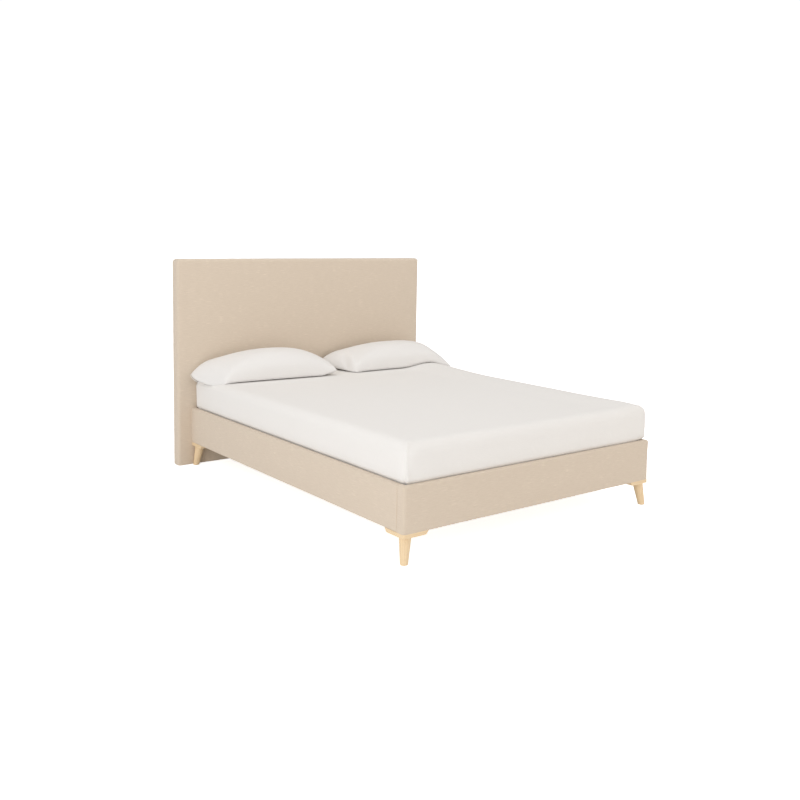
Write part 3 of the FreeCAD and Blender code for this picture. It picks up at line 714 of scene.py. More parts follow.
# %% Open its back and let the foam swell its front
x, y, z = flat_head.T
in_opening = ((y > hy1 - NEAR) & (x >= hx0 + HEAD_FLAP - NEAR) & (x <= hx1 - HEAD_FLAP + NEAR)
              & (z >= hz0 + HEAD_FLAP - NEAR) & (z <= hz1 - HEAD_FLAP + NEAR))
head_points, head_faces, flat_head = cut_opening(head_points, head_faces, flat_head, in_opening)
x, y, z = flat_head.T
side_sign = np.where(np.abs(x) > hx1 - NEAR, np.sign(x), 0)
head_uv = np.stack([x + (y - hy0) * side_sign, z + (y - hy0) * np.where(z > hz1 - NEAR, 1.0, 0.0)], axis=1)
headboard = new_piece("headboard_upholstery", head_points, head_faces, head_uv)

inset_x = np.clip((hx1 - np.abs(x)) / SWELL_REACH, 0, 1)
inset_z = np.clip(np.minimum(hz1 - z, z - hz0) / SWELL_REACH, 0, 1)
on_front = np.clip(1 - (y - hy0) / 0.012, 0, 1)
puffed = 0.0045 * np.sin(inset_x * math.pi / 2) * np.sin(inset_z * math.pi / 2)
ripple = 0.0010 * waves(head_points, 0.30, 3) + 0.0004 * waves(head_points, 0.09, 4)
edge_pull = 0.0009 * waves(head_points, 0.045, 5) * (1 - np.minimum(inset_x, inset_z)) ** 3
push = np.maximum((puffed + ripple) * on_front + edge_pull, -0.0005)
write_points(headboard, head_points + read_normals(headboard) * push[:, None])
thicken(headboard, FABRIC)
headboard.data.materials.append(linen)
print("headboard", len(headboard.data.polygons), "faces")


# %% [markdown]
# ## Rail upholstery
# A rail's linen wraps a board in a C: up the inside as a flap, under, up the outer face, over
# the top and down the inside again, where a second flap is stapled above the slat ledger. The C
# is drawn once as a row of points for a given inset, and carried along a path. Near a piece's
# end the inset grows along a quarter round, so that the end looks folded in and the seam
# between foot and side reads as two soft edges.


# %% Rail section
RAIL_OUTER_ROUND = 0.010
RAIL_INNER_ROUND = 0.006
RAIL_BOTTOM_ROUND = 0.003
RAIL_PITCH = 0.02
FLAP_GAP = 0.001
END_ROUND = 0.0035
rail_low, rail_high = rail_box[0].z, rail_box[1].z
lower_flap_end = ledger_bottom - FLAP_GAP
upper_flap_start = slat_bottom + FLAP_GAP


def arc_points(centre, radius, start, end, count=5):
    """Points on an arc, without its first point; angles in degrees."""
    angles = [math.radians(start + (end - start) * i / count) for i in range(1, count + 1)]
    return [(centre[0] + radius * math.cos(a), centre[1] + radius * math.sin(a)) for a in angles]


def rail_section(inset):
    """The C of a rail's fabric as (depth from the outer face, height) points."""
    low, high = rail_low + inset, rail_high - inset
    inner, outer = rail_thickness - inset, inset
    bottom, top_out, top_in = (max(0.0005, r - inset) for r in (
        RAIL_BOTTOM_ROUND, RAIL_OUTER_ROUND, RAIL_INNER_ROUND))
    points = [(inner, lower_flap_end - (lower_flap_end - low - bottom) * i / 3) for i in range(4)]
    points += arc_points((inner - bottom, low + bottom), bottom, 0, -90, 3)
    points += [(inner - bottom - (inner - outer - 2 * bottom) * i / 3, low) for i in range(1, 4)]
    points += arc_points((outer + bottom, low + bottom), bottom, -90, -180, 3)
    side = high - top_out - low - bottom
    points += [(outer, low + bottom + side * i / 12) for i in range(1, 13)]
    points += arc_points((outer + top_out, high - top_out), top_out, 180, 90, 6)
    across = inner - top_in - outer - top_out
    points += [(outer + top_out + across * i / 2, high) for i in (1, 2)]
    points += arc_points((inner - top_in, high - top_in), top_in, 90, 0, 5)
    drop = high - top_in - upper_flap_start
    points += [(inner, high - top_in - drop * i / 4) for i in range(1, 5)]
    return np.array(points)


print("section of", len(rail_section(0.0)), "points")


# %% Carry the section along a path
def section_lengths(section):
    """Distance along the section at each of its points."""
    gaps = np.hypot(*np.diff(section, axis=0).T)
    return np.concatenate([[0.0], np.cumsum(gaps)])


def strip_faces(rows, width):
    """Faces of a sheet whose points lie in rows of that width."""
    return [[r * width + c, r * width + c + 1, (r + 1) * width + c + 1, (r + 1) * width + c]
            for r in range(rows - 1) for c in range(width - 1)]


def end_inset(distance):
    """How far the fabric has turned in at that distance from the piece's end."""
    t = min(max(distance, 0.0), END_ROUND)
    return END_ROUND - math.sqrt(END_ROUND ** 2 - (END_ROUND - t) ** 2)


def wrap_rail(name, length, place, middle=None):
    """Carries the rail's C along a path; place(distance, depth) gives X and Y."""
    ends = [0.0, 0.0004, 0.0011, 0.0022, END_ROUND]
    if middle is None:
        middle = np.linspace(END_ROUND, length - END_ROUND, round(length / RAIL_PITCH))[1:-1]
    rows = [(0.0, END_ROUND + 0.006)] + [(d, end_inset(d)) for d in ends]
    rows += [(d, 0.0) for d in middle]
    rows += [(length - d, end_inset(d)) for d in reversed(ends)] + [(length, END_ROUND + 0.006)]
    base = rail_section(0.0)
    around = section_lengths(base)
    points, cloth = [], []
    for distance, inset in rows:
        for (depth, height), v in zip(rail_section(inset), around):
            x, y = place(distance, depth)
            points.append((x, y, height))
            cloth.append((distance, v))
    return new_piece(name, points, strip_faces(len(rows), len(base)), cloth)


# %% Soften a rail
def soften_rail(piece, seed):
    """Lets the foam swell the outer face a little and the fabric ripple."""
    points = read_points(piece)
    level = np.clip((points[:, 2] - rail_low) / (rail_high - rail_low), 0, 1)
    from_outside = np.minimum(half_width - np.abs(points[:, 0]), points[:, 1] - foot_box[0].y)
    outer = np.clip(1 - from_outside / (0.6 * rail_thickness), 0, 1)
    puffed = 0.0022 * np.sin(level * math.pi) ** 0.7
    ripple = 0.0008 * waves(points, 0.22, seed) + 0.0004 * waves(points, 0.06, seed + 1, (1, 1, 0.4))
    pull = 0.0008 * waves(points, 0.035, seed + 2, (1, 1, 0.2)) * np.clip(1 - level * 4, 0, 1)
    push = np.maximum(puffed + ripple + pull, -0.0004) * outer
    write_points(piece, points + read_normals(piece) * push[:, None])
    thicken(piece, FABRIC)
    piece.data.materials.append(linen)
    return piece


# %% Side rails
side_length = rail_box[1].y - rail_box[0].y


def left_side(distance, depth):
    """X and Y on the left rail, from its foot end."""
    return -half_width + depth, rail_box[0].y + distance


def right_side(distance, depth):
    """X and Y on the right rail, from its head end."""
    return half_width - depth, rail_box[1].y - distance


side_covers = {}
for side, place, seed in (("left", left_side, 11), ("right", right_side, 17)):
    cover = wrap_rail(f"side_rail_upholstery_{side}", side_length, place)
    side_covers[side] = soften_rail(cover, seed)
print("side rails", [len(c.data.polygons) for c in side_covers.values()], "faces")

# %% [markdown]
# The foot's piece of linen goes round both corners of the bed and stops a hand's breadth along
# the sides, where it meets the side piece in a seam. The path is straight, quarter round,
# straight, quarter round, straight. Deeper than the corner's radius, the inner layers meet in
# a mitre, so the round shrinks with depth.

# %% Foot upholstery
FOOT_CORNER_ROUND = 0.014
seam_y, foot_y = foot_box[1].y, foot_box[0].y
return_run = seam_y - foot_y - FOOT_CORNER_ROUND
corner_run = FOOT_CORNER_ROUND * math.pi / 2
foot_run = 2 * (half_width - FOOT_CORNER_ROUND)
foot_length = 2 * return_run + 2 * corner_run + foot_run


def foot_place(distance, depth):
    """X and Y on the foot's path, at that depth inside its outer face."""
    round_here = max(FOOT_CORNER_ROUND - depth, 0.0006)
    start_x, near_y = half_width - depth, foot_y + depth
    turn_x, turn_y = start_x - round_here, near_y + round_here
    mirrored = distance > foot_length / 2
    if mirrored:
        distance = foot_length - distance
    if distance <= return_run:
        x, y = -start_x, seam_y + (turn_y - seam_y) * distance / return_run
    elif distance <= return_run + corner_run:
        angle = (distance - return_run) / corner_run * math.pi / 2
        x, y = -turn_x - round_here * math.cos(angle), turn_y - round_here * math.sin(angle)
    else:
        share = (distance - return_run - corner_run) / (foot_run / 2)
        x, y = -turn_x * (1 - share), near_y
    return (-x if mirrored else x), y


corner_steps = [return_run + corner_run * i / 6 for i in range(7)]
half_steps = [END_ROUND + (return_run - END_ROUND) * i / 3 for i in (1, 2)] + corner_steps
half_steps += list(np.linspace(corner_steps[-1], foot_length / 2, 40))[1:-1]
foot_steps = half_steps + [foot_length / 2] + [foot_length - d for d in reversed(half_steps)]
foot_cover = soften_rail(wrap_rail("foot_upholstery", foot_length, foot_place, foot_steps), 23)
print("foot", len(foot_cover.data.polygons), "faces,", round(foot_length, 3), "m long")

# %% [markdown]
# ## Back cloth
# The back of a headboard is closed with a sheet of black felt, folded under at its edge and
# stapled. It is nearly flat: between the staples it lifts a hair, and it hollows a little over
# the openings of the frame, where no board is behind it.

# %% Back cloth
cloth_low, cloth_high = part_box("headboard_back_cloth")
BACK_EDGE, BACK_PITCH, FELT = 0.012, 0.02, 0.0007
back_x = steps(cloth_low.x, cloth_high.x, BACK_PITCH, BACK_EDGE, BACK_EDGE)
back_z = steps(cloth_low.z, cloth_high.z, BACK_PITCH, BACK_EDGE, BACK_EDGE)
back_points = np.array([(x, cloth_high.y - 0.0001, z) for x in back_x for z in back_z])
back_faces = strip_faces(len(back_x), len(back_z))
edge_depth, _, _ = outline_depth(
    back_points[:, 0], back_points[:, 2], (cloth_low.x, cloth_low.z), (cloth_high.x, cloth_high.z), 0.001)
folded = np.clip(1 - edge_depth / BACK_EDGE, 0, 1)
over_opening = np.ones(len(back_points))
for board in ("stile_left", "stile_right", "top_rail", "middle_rail", "bottom_rail"):
    board_low, board_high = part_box(f"headboard_{board}")
    off_x = np.maximum(board_low.x - back_points[:, 0], back_points[:, 0] - board_high.x)
    off_z = np.maximum(board_low.z - back_points[:, 2], back_points[:, 2] - board_high.z)
    off_board = np.hypot(np.maximum(off_x, 0), np.maximum(off_z, 0))
    over_opening = np.minimum(over_opening, np.clip(off_board / 0.11, 0, 1) ** 1.5)
back_points[:, 1] -= over_opening * (0.0045 + 0.0020 * waves(back_points, 0.25, 31))
back_points[:, 1] += (1 - over_opening) * 0.00025 * (1 + waves(back_points, 0.12, 33))
back_points[:, 1] += folded * 0.0003 * (1 + waves(back_points, 0.03, 32))
back_cloth = new_piece("headboard_back_felt", back_points, back_faces, back_points[:, [0, 2]])
thicken(back_cloth, FELT)
back_cloth.data.materials.append(felt)

# %% [markdown]
# ## Mattress and fitted sheet
# Both are the same block with round upright corners and round top and bottom edges. One helper
# bends a lattice into that shape. The mattress gets its quilting as real relief, since its
# underside can be seen between the slats. The sheet is a thin skin over it with an open
# bottom, where its elastic hem is turned under.

# %% Bedding block
UPRIGHT_ROUND = 0.028
SHEET_TOP_ROUND = 0.052
SHEET_BOTTOM_ROUND = 0.022


def bedding_block(low, high, pitch, height_pitch, extra_x=(), extra_y=(), bend=5):
    """Points, faces and the square-cornered points of a mattress-shaped block."""
    points, faces = lattice_block(
        steps(low[0], high[0], pitch, UPRIGHT_ROUND, UPRIGHT_ROUND, extra_x, bend),
        steps(low[1], high[1], pitch, UPRIGHT_ROUND, UPRIGHT_ROUND, extra_y, bend),
        steps(low[2], high[2], height_pitch, SHEET_BOTTOM_ROUND, SHEET_TOP_ROUND, bend=bend))
    flat = points.copy()
    for x_face, x_sign in ((low[0], -1), (high[0], 1)):
        for y_face, y_sign in ((low[1], -1), (high[1], 1)):
            round_straight_edge(points, (0, x_face, x_sign), (1, y_face, y_sign), UPRIGHT_ROUND)
    for z_face, sign, radius in ((high[2], 1, SHEET_TOP_ROUND), (low[2], -1, SHEET_BOTTOM_ROUND)):
        depth, out_x, out_y = outline_depth(
            points[:, 0], points[:, 1], low[:2], high[:2], UPRIGHT_ROUND)
        bent, bent_z = quarter_round(depth, (z_face - points[:, 2]) * sign, radius)
        points[:, 0] -= out_x * (bent - depth)
        points[:, 1] -= out_y * (bent - depth)
        points[:, 2] = z_face - bent_z * sign
    return points, faces, flat


# %% Mattress
MATTRESS_INSET = 0.003
MATTRESS_SIDE_INSET = 0.012
QUILT = 0.11
side_inset = np.array((MATTRESS_SIDE_INSET, MATTRESS_SIDE_INSET, MATTRESS_INSET))
mattress_low = np.array(mattress_box[0]) + side_inset
mattress_high = np.array(mattress_box[1]) - side_inset
points, faces, flat = bedding_block(mattress_low, mattress_high, 0.0125, 0.03)
mattress = new_piece("mattress_ticking_block", points, faces, flat[:, :2] + flat[:, 2:] * 0.7)
diagonal_a = np.sin(math.pi * (points[:, 0] + points[:, 1]) / QUILT)
diagonal_b = np.sin(math.pi * (points[:, 0] - points[:, 1]) / QUILT)
puff = np.sqrt(np.abs(diagonal_a * diagonal_b))
level_face = np.clip(np.abs(read_normals(mattress)[:, 2]) * 4 - 3, 0, 1)
under = points[:, 2] < (mattress_low[2] + mattress_high[2]) / 2
dip = level_face * (0.0035 * (1 - puff) + 0.001)
quilted = points.copy()
quilted[:, 2] += np.where(under, 1, -1) * dip - np.where(under, 0.0025, 0)
write_points(mattress, quilted)
mattress.data.materials.append(ticking)
print("mattress", len(mattress.data.polygons), "faces")

# %% [markdown]
# A fitted sheet is one rectangle with a square cut from each corner, sewn up as a dart. So
# every upright corner has a seam, with small puckers fanning out from its top. Pulled over the
# mattress, the sheet also shows long shallow folds that run in from its corners, and its lower
# edge is drawn in by elastic.

# %% Fitted sheet
HEM, PERCALE = 0.090, 0.0008
LEFT_OVERHANG, RIGHT_OVERHANG, FOOT_OVERHANG = 0.010, 0.030, 0.009
RIGHT_LIFT, PILLOW_SIDE_LIFT = 0.008, 0.015
sheet_low, sheet_high = np.array(sheet_box[0]), np.array(sheet_box[1])
hem_x = (sheet_low[0] + HEM, sheet_high[0] - HEM)
hem_y = (sheet_low[1] + HEM, sheet_high[1] - HEM)
points, faces, flat = bedding_block(sheet_low, sheet_high, 0.0145, 0.0095, hem_x, hem_y, bend=8)
x, y, z = flat.T
in_opening = ((z < sheet_low[2] + NEAR) & (x >= hem_x[0] - NEAR) & (x <= hem_x[1] + NEAR)
              & (y >= hem_y[0] - NEAR) & (y <= hem_y[1] + NEAR))
points, faces, flat = cut_opening(points, faces, flat, in_opening)
x, y, z = flat.T
down_side = sheet_high[2] - z
on_x_side = np.abs(np.abs(x) - sheet_high[0]) < NEAR
on_y_side = ((y - sheet_low[1] < NEAR) | (sheet_high[1] - y < NEAR)) & ~on_x_side
sheet_uv = np.stack([x + np.sign(x) * np.where(on_x_side, down_side, 0),
                     y + np.sign(y) * np.where(on_y_side, down_side, 0)], axis=1)
sheet = new_piece("fitted_sheet_percale", points, faces, sheet_uv)
half_x, half_y = sheet_high[0], (sheet_high[1] - sheet_low[1]) / 2
middle_y = (sheet_low[1] + sheet_high[1]) / 2
print("sheet", len(sheet.data.polygons), "faces before its folds")

# %% [markdown]
# The folds are small moves of the sheet's points along their normals: long waves on the sides,
# a tuck where the sheet goes down behind the rail, puckers at the corners, gathers above the
# elastic and a faint unevenness on top. Above the rail the sides also stand out over it, by an
# overhang of their own for each side, and the right edge is lifted beside its pillow.

# %% Folds of the sheet
normals = read_normals(sheet)


def soft_step(share):
    """0 below 0, 1 above 1, with a smooth rise between."""
    share = np.clip(share, 0, 1)
    return share * share * (3 - 2 * share)


def edge_lift(x, y):
    """How far the sheet's right edge stands up, most of all beside the pillow."""
    beside_pillow = PILLOW_SIDE_LIFT * soft_step((y - 0.1) / 0.5)
    return (RIGHT_LIFT + beside_pillow) * soft_step((x - half_x + 0.26) / 0.20)


def side_waves(size, seed, rise=0.0):
    """Waves that run along the sheet's sides, and with the height as far as rise says."""
    return waves(np.stack([along, points[:, 2] * rise, 0 * along], 1), size, seed)


level = (points[:, 2] - sheet_low[2]) / (sheet_high[2] - sheet_low[2])
upright = 1 - np.clip(np.abs(normals[:, 2]) * 1.4, 0, 1)
along = np.where(np.abs(normals[:, 0]) > np.abs(normals[:, 1]), points[:, 1], points[:, 0])
over_rail = soft_step((points[:, 2] - rail_high + 0.003) / 0.013)
tuck = -0.0035 * np.exp(-((points[:, 2] - rail_high + 0.012) / 0.022) ** 2)
tuck *= 1 + 0.5 * side_waves(0.16, 47)
side_folds = 0.0022 * side_waves(0.26, 41, 1.6) + 0.0011 * side_waves(0.085, 42, 0.5)

from_corner_x = half_x - np.abs(points[:, 0])
from_corner_y = half_y - np.abs(points[:, 1] - middle_y)
corner_near = np.exp(-(from_corner_x + from_corner_y) / 0.16)
fan = np.arctan2(from_corner_y + 0.02, from_corner_x + 0.02)
puckers = 0.0028 * np.sin(fan * 11 + 2.2 * waves(points, 0.12, 43)) * corner_near
top_share = np.clip(normals[:, 2], 0, 1)
reach = np.hypot(from_corner_x, from_corner_y)
tension = 0.0016 * np.sin(fan * 7) * np.exp(-reach / 0.55) * top_share
lie = (0.0018 * waves(points, 0.55, 44) + 0.0007 * waves(points, 0.16, 45)) * top_share
gather = 0.0022 * np.sin(along * 2 * math.pi / 0.034 + 3 * waves(points, 0.2, 46))
gather *= np.clip(1 - level * 3.2, 0, 1) * upright
push = (side_folds + tuck) * upright + puckers + tension + lie + gather + 0.0006
push = np.where(normals[:, 2] < -0.5, 0.0, push)
moved = points + normals * np.maximum(push, -0.0085 * upright - 0.0012)[:, None]
near_side = soft_step((np.abs(points[:, 0]) - half_x + 0.13) / 0.10) * over_rail
moved[:, 0] += np.where(points[:, 0] > 0, RIGHT_OVERHANG, -LEFT_OVERHANG) * near_side
moved[:, 1] -= FOOT_OVERHANG * soft_step((middle_y - points[:, 1] - half_y + 0.13) / 0.10) * over_rail
moved[:, 2] += edge_lift(points[:, 0], points[:, 1]) * over_rail * level
write_points(sheet, moved)
thicken(sheet, PERCALE)
sheet.data.materials.append(sheet_cotton)
print("largest move of the sheet", round(float(np.abs(moved - points).max()), 4))

# %% Dart lines
dart_lines = []
for side_x in (-half_x, half_x):
    for end_y in (sheet_low[1], sheet_high[1]):
        column = np.flatnonzero(np.isclose(flat[:, 0], side_x) & np.isclose(flat[:, 1], end_y))
        column = column[np.argsort(flat[column, 2])]
        dart_lines.append((moved + normals * 0.0003)[column])
print("darts", len(dart_lines))

# %% [markdown]
# ## Pillows
# A pillow is two rectangles of cotton sewn together and filled. Filling it pulls the middles of
# its sides in and leaves four ears. Each pillow starts as a settled dome: flat below, its crown
# near the outer end, its seam higher at the back. A short cloth simulation then swells it, with
# a little pressure, a cloth that is slightly slack and no gravity, while blocks stand in for
# the mattress and the headboard. No point may move further than a cap, so the pillow keeps the
# slump of the start. Last come the droop past the mattress's edge and a fold at one corner.

# %% Two layers sewn at the rim
PILLOW_CUT = (0.914, 0.508)
PILLOW_PITCH = 0.0145


def sewn_pair(cut, pitch):
    """Two layers joined at the rim: each point's (u, v, layer) from -1 to 1, faces, rim loop."""
    nx, ny = round(cut[0] / pitch), round(cut[1] / pitch)
    index, places, faces = {}, [], []

    def point(i, j, layer):
        on_rim = i in (0, nx) or j in (0, ny)
        key = (i, j, 0 if on_rim else layer)
        if key not in index:
            index[key] = len(places)
            places.append((2 * i / nx - 1, 2 * j / ny - 1, key[2]))
        return index[key]

    for i in range(nx):
        for j in range(ny):
            square = ((i, j), (i + 1, j), (i + 1, j + 1), (i, j + 1))
            faces.append([point(*c, 1) for c in square])
            faces.append([point(*c, -1) for c in reversed(square)])
    rim = [(i, 0) for i in range(nx)] + [(nx, j) for j in range(ny)]
    rim += [(nx - i, ny) for i in range(nx)] + [(0, ny - j) for j in range(ny)]
    return np.array(places), faces, [point(i, j, 1) for i, j in rim]


places, faces, rim = sewn_pair(PILLOW_CUT, PILLOW_PITCH)
print("pillow lattice", len(places), "points,", len(rim), "along its seam")


# %% Blocks to lie on
def resting_block(name, low, high):
    """A plain block for the cloth to lie on; it is deleted after the simulation."""
    points, faces = lattice_block(*[[low[a], low[a] + 0.02, high[a] - 0.02, high[a]] for a in range(3)])
    block = new_piece(name, points, faces)
    bevel = block.modifiers.new("round", "BEVEL")
    bevel.width, bevel.segments = 0.018, 4
    block.modifiers.new("solid", "COLLISION")
    block.collision.thickness_outer = 0.003
    block.collision.cloth_friction = 20
    return block


# %% Settled dome
FRONT_SEAM, REAR_SEAM, EAR_HEIGHT = 0.0105, 0.075, 0.030
LEFT_CROWN, RIGHT_CROWN, FRONT_CROWN, REAR_CROWN = 0.46, 0.36, 0.17, 0.13
FRONT_LEFT_PULL = (0.095, 0.02)
HIP_SHARE = 0.9
EAR_SPAN = 0.12
UNDERSIDE = 0.003


def arch(distance, reach, steepness=0.58):
    """A steep rise from 0 at the seam to 1 at that reach."""
    return np.sin(np.clip(distance / reach, 0, 1) ** steepness * math.pi / 2)


def settled_dome(places, length, depth, height):
    """The pillow before the cloth swells: flat below, domed above, its rear edge pushed up."""
    u, v, layer = places.T
    from_end = (1 - np.abs(u)) * length / 2
    from_front, from_rear = (1 + v) * depth / 2, (1 - v) * depth / 2
    left_rise = arch((1 + u) * length / 2, LEFT_CROWN, 0.74)
    front_rise = arch(from_front, FRONT_CROWN)
    hip = HIP_SHARE * np.clip(-u, 0, 1) * np.clip(0.4 - v, 0, 1)
    crown = left_rise * front_rise * (1 - hip) + np.minimum(left_rise, front_rise) * hip
    crown *= arch((1 - u) * length / 2, RIGHT_CROWN) * arch(from_rear, REAR_CROWN)
    blunt = 1 - 0.05 * (u * v) ** 8
    x = u * length / 2 * (1 - 0.03 * (1 - v ** 2)) * blunt
    y = v * depth / 2 * (1 - 0.07 * (1 - u ** 2)) * blunt
    front_left = ((1 - u) / 2) ** 3 * ((1 - v) / 2) ** 1.5
    x, y = x + FRONT_LEFT_PULL[0] * front_left, y + FRONT_LEFT_PULL[1] * front_left
    ear = np.clip(1 - from_end / EAR_SPAN, 0, 1)
    ear_height = np.where(u < 0, 0.007 + 0.028 * ((1 + v) / 2) ** 1.2, EAR_HEIGHT)
    seam = (FRONT_SEAM + (REAR_SEAM - FRONT_SEAM) * ((1 + v) / 2) ** 2) * (1 - ear) + ear_height * ear
    inside = np.clip(np.minimum(from_end, np.minimum(from_front, from_rear)) / 0.05, 0, 1)
    top = seam + (height - seam) * crown
    bottom = seam * (1 - inside) + UNDERSIDE * inside
    return np.stack([x, y, np.where(layer > 0, top, np.where(layer < 0, bottom, seam))], axis=1)


print("crowns rise over", LEFT_CROWN, RIGHT_CROWN, FRONT_CROWN, REAR_CROWN, "m from the edges")


# %% Corner fold
FOLD_WIDTH = 0.015
FOLD_COS, FOLD_SIN = 0.55, 0.835


def corner_fold(places, length, depth, height):
    """The height of the fold that runs up from the front left corner, with a hollow beside it."""
    u, v, layer = places.T
    x, y = (u + 1) * length / 2, (v + 1) * depth / 2
    along, across = (x * FOLD_COS + y * FOLD_SIN), (x * FOLD_SIN - y * FOLD_COS)
    reach = np.clip(along / 0.04, 0, 1) * np.clip((0.21 - along) / 0.12, 0, 1)
    ridge = np.exp(-(across / FOLD_WIDTH) ** 2)
    ridge -= 0.7 * np.exp(-((across + 2.1 * FOLD_WIDTH) / FOLD_WIDTH) ** 2)
    return np.where(layer > 0, height * ridge * reach, 0)


# %% Cloth simulation
PILLOW_FRAMES = 16
CLOTH_SETTINGS = {
    "quality": 6, "mass": 0.3, "air_damping": 2.0, "tension_stiffness": 25,
    "compression_stiffness": 25, "shear_stiffness": 8, "bending_stiffness": 0.1,
    "tension_damping": 8, "compression_damping": 8, "shear_damping": 6, "bending_damping": 1.0,
    "use_pressure": True, "uniform_pressure_force": 3.0}


def swell(pillow, slack):
    """The pillow's points after the simulation, whose rest shape is the slack points."""
    pillow.shape_key_add(name="placed")
    slack_key = pillow.shape_key_add(name="slack")
    slack_key.data.foreach_set("co", slack.astype(np.float32).ravel())
    cloth = pillow.modifiers.new("cloth", "CLOTH")
    for setting, value in CLOTH_SETTINGS.items():
        setattr(cloth.settings, setting, value)
    cloth.settings.rest_shape_key = slack_key
    cloth.settings.effector_weights.gravity = 0.0
    cloth.collision_settings.distance_min = 0.003
    cloth.collision_settings.collision_quality = 3
    cloth.point_cache.frame_end = PILLOW_FRAMES
    for number in range(1, PILLOW_FRAMES + 1):
        scene.frame_set(number)
    evaluated = pillow.evaluated_get(bpy.context.evaluated_depsgraph_get())
    settled = bpy.data.meshes.new_from_object(evaluated)
    pillow.modifiers.clear()
    pillow.shape_key_clear()
    pillow.data = settled
    settled.name = pillow.name
    scene.frame_set(1)
    return read_points(pillow)


# %% Filled pillow
FABRIC_SLACK = 1.03
MOST_MOVE = 0.016
PILLOW_SINK = 0.005
END_SAG = 0.036
LEFT_DROOP, RIGHT_DROOP = 0.35, 0.85


def fill_pillow(name, middle, turn, size, fold):
    """A pillow settled on the bed at that middle, and its seam's points."""
    start = settled_dome(places, *size)
    placing = Matrix.Translation(middle) @ Matrix.Rotation(math.radians(turn), 4, "Z")
    slack = np.array([placing @ Vector(p) for p in start * FABRIC_SLACK])
    start = np.array([placing @ Vector(p) for p in start])
    pillow = new_piece(name, start, faces, (places[:, :2] + 1) * np.array(PILLOW_CUT) / 2)
    move = swell(pillow, slack) - start
    far = np.maximum(np.linalg.norm(move, axis=1), 1e-9)
    move *= (MOST_MOVE * np.tanh(far / MOST_MOVE) / far)[:, None]
    low_down = np.clip((start[:, 2] - middle.z) / 0.07, 0.08, 1)
    move[:, 2] *= np.where(move[:, 2] > 0, low_down, 1)
    start = start + move
    start[:, 2] += corner_fold(places, size[0], size[1], fold)
    near_sheet = np.clip(1 - (start[:, 2] - middle.z) / 0.12, 0, 1)
    start[:, 2] += edge_lift(start[:, 0], start[:, 1]) * near_sheet
    outer_end = np.clip(-5 * places[:, 0] - 4, 0, 1) ** 2 * (1 - places[:, 1] ** 2)
    start[:, 2] -= END_SAG * outer_end * (start[:, 0] < 0)
    over_edge = np.maximum(start[:, 0] - half_x - RIGHT_OVERHANG, -start[:, 0] - half_x - LEFT_OVERHANG)
    droop = np.where(start[:, 0] > 0, RIGHT_DROOP, LEFT_DROOP)
    start[:, 2] -= PILLOW_SINK + droop * np.clip(over_edge + SHEET_TOP_ROUND, 0, None) ** 1.4
    write_points(pillow, start)
    pillow.data.shade_smooth()
    seam = read_points(pillow)[rim]
    refine(pillow)
    pillow.data.materials.append(pillow_cotton)
    low, high = read_points(pillow).min(axis=0), read_points(pillow).max(axis=0)
    print(name, "from", low.round(3), "to", high.round(3))
    return pillow, seam


# %% Settle the pillows
blocks = [resting_block("mattress_block", sheet_low, sheet_high + (0, 0, 0.001)),
          resting_block("headboard_block", np.array(head_box[0]), np.array(head_box[1]))]
pillows, pillow_seams = {}, {}
for side, turn, nudge, size, fold in (("left", -3.0, (0.034, 0.0), (0.840, 0.335, 0.156), 0.003),
                                ("right", 0.0, (0.052, -0.01), (0.885, 0.335, 0.147), 0.016)):
    (x0, y0, z0), (x1, y1, z1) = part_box(f"pillow_{side}")
    middle = Vector(((x0 + x1) / 2 + nudge[0], head_face - 0.012 - size[1] / 2 + nudge[1], z0 + 0.002))
    pillows[side], pillow_seams[side] = fill_pillow(f"pillow_{side}_percale", middle, turn, size, fold)
for block in blocks:
    bpy.data.objects.remove(block)
print("pillows settled:", sorted(pillows))

# %% [markdown]
# ## Welts and staples
# Small things in a row are one Geometry Nodes tree: it puts a bent bit of wire or thread at
# even steps along a line. Its length, thickness and spacing are inputs; here it staples the
# back of the headboard and the flaps of the rails. A second tree carries a round section along
# a line for the sewn edge of a pillow.


# %% Parts of both trees
def line_tree(name, inputs):
    """A geometry tree that takes a line, its named sizes and a material."""
    return node_group(
        name, [("Geometry", "NodeSocketGeometry", None), *inputs, ("Material", "NodeSocketMaterial", None)],
        [("Geometry", "NodeSocketGeometry")], "GeometryNodeTree")


def round_section(tree, thickness):
    """A six-sided ring of that thickness."""
    ring = add_node(tree, "GeometryNodeCurvePrimitiveCircle")
    ring.inputs["Resolution"].default_value = 6
    tree.links.new(times(tree, thickness, 0.5), ring.inputs["Radius"])
    return ring.outputs[0]


def end_tree(tree, geometry, row_in, row_out):
    """Realizes the instances, sets the material and ends the tree."""
    real = add_node(tree, "GeometryNodeRealizeInstances")
    smooth = add_node(tree, "GeometryNodeSetShadeSmooth")
    finish = add_node(tree, "GeometryNodeSetMaterial")
    wire_up(tree, (geometry, real.inputs[0]), (real.outputs[0], smooth.inputs["Geometry"]),
            (smooth.outputs["Geometry"], finish.inputs["Geometry"]),
            (row_in.outputs["Material"], finish.inputs["Material"]),
            (finish.outputs["Geometry"], row_out.inputs["Geometry"]))
    print("tree", tree.name, len(tree.nodes), "nodes")


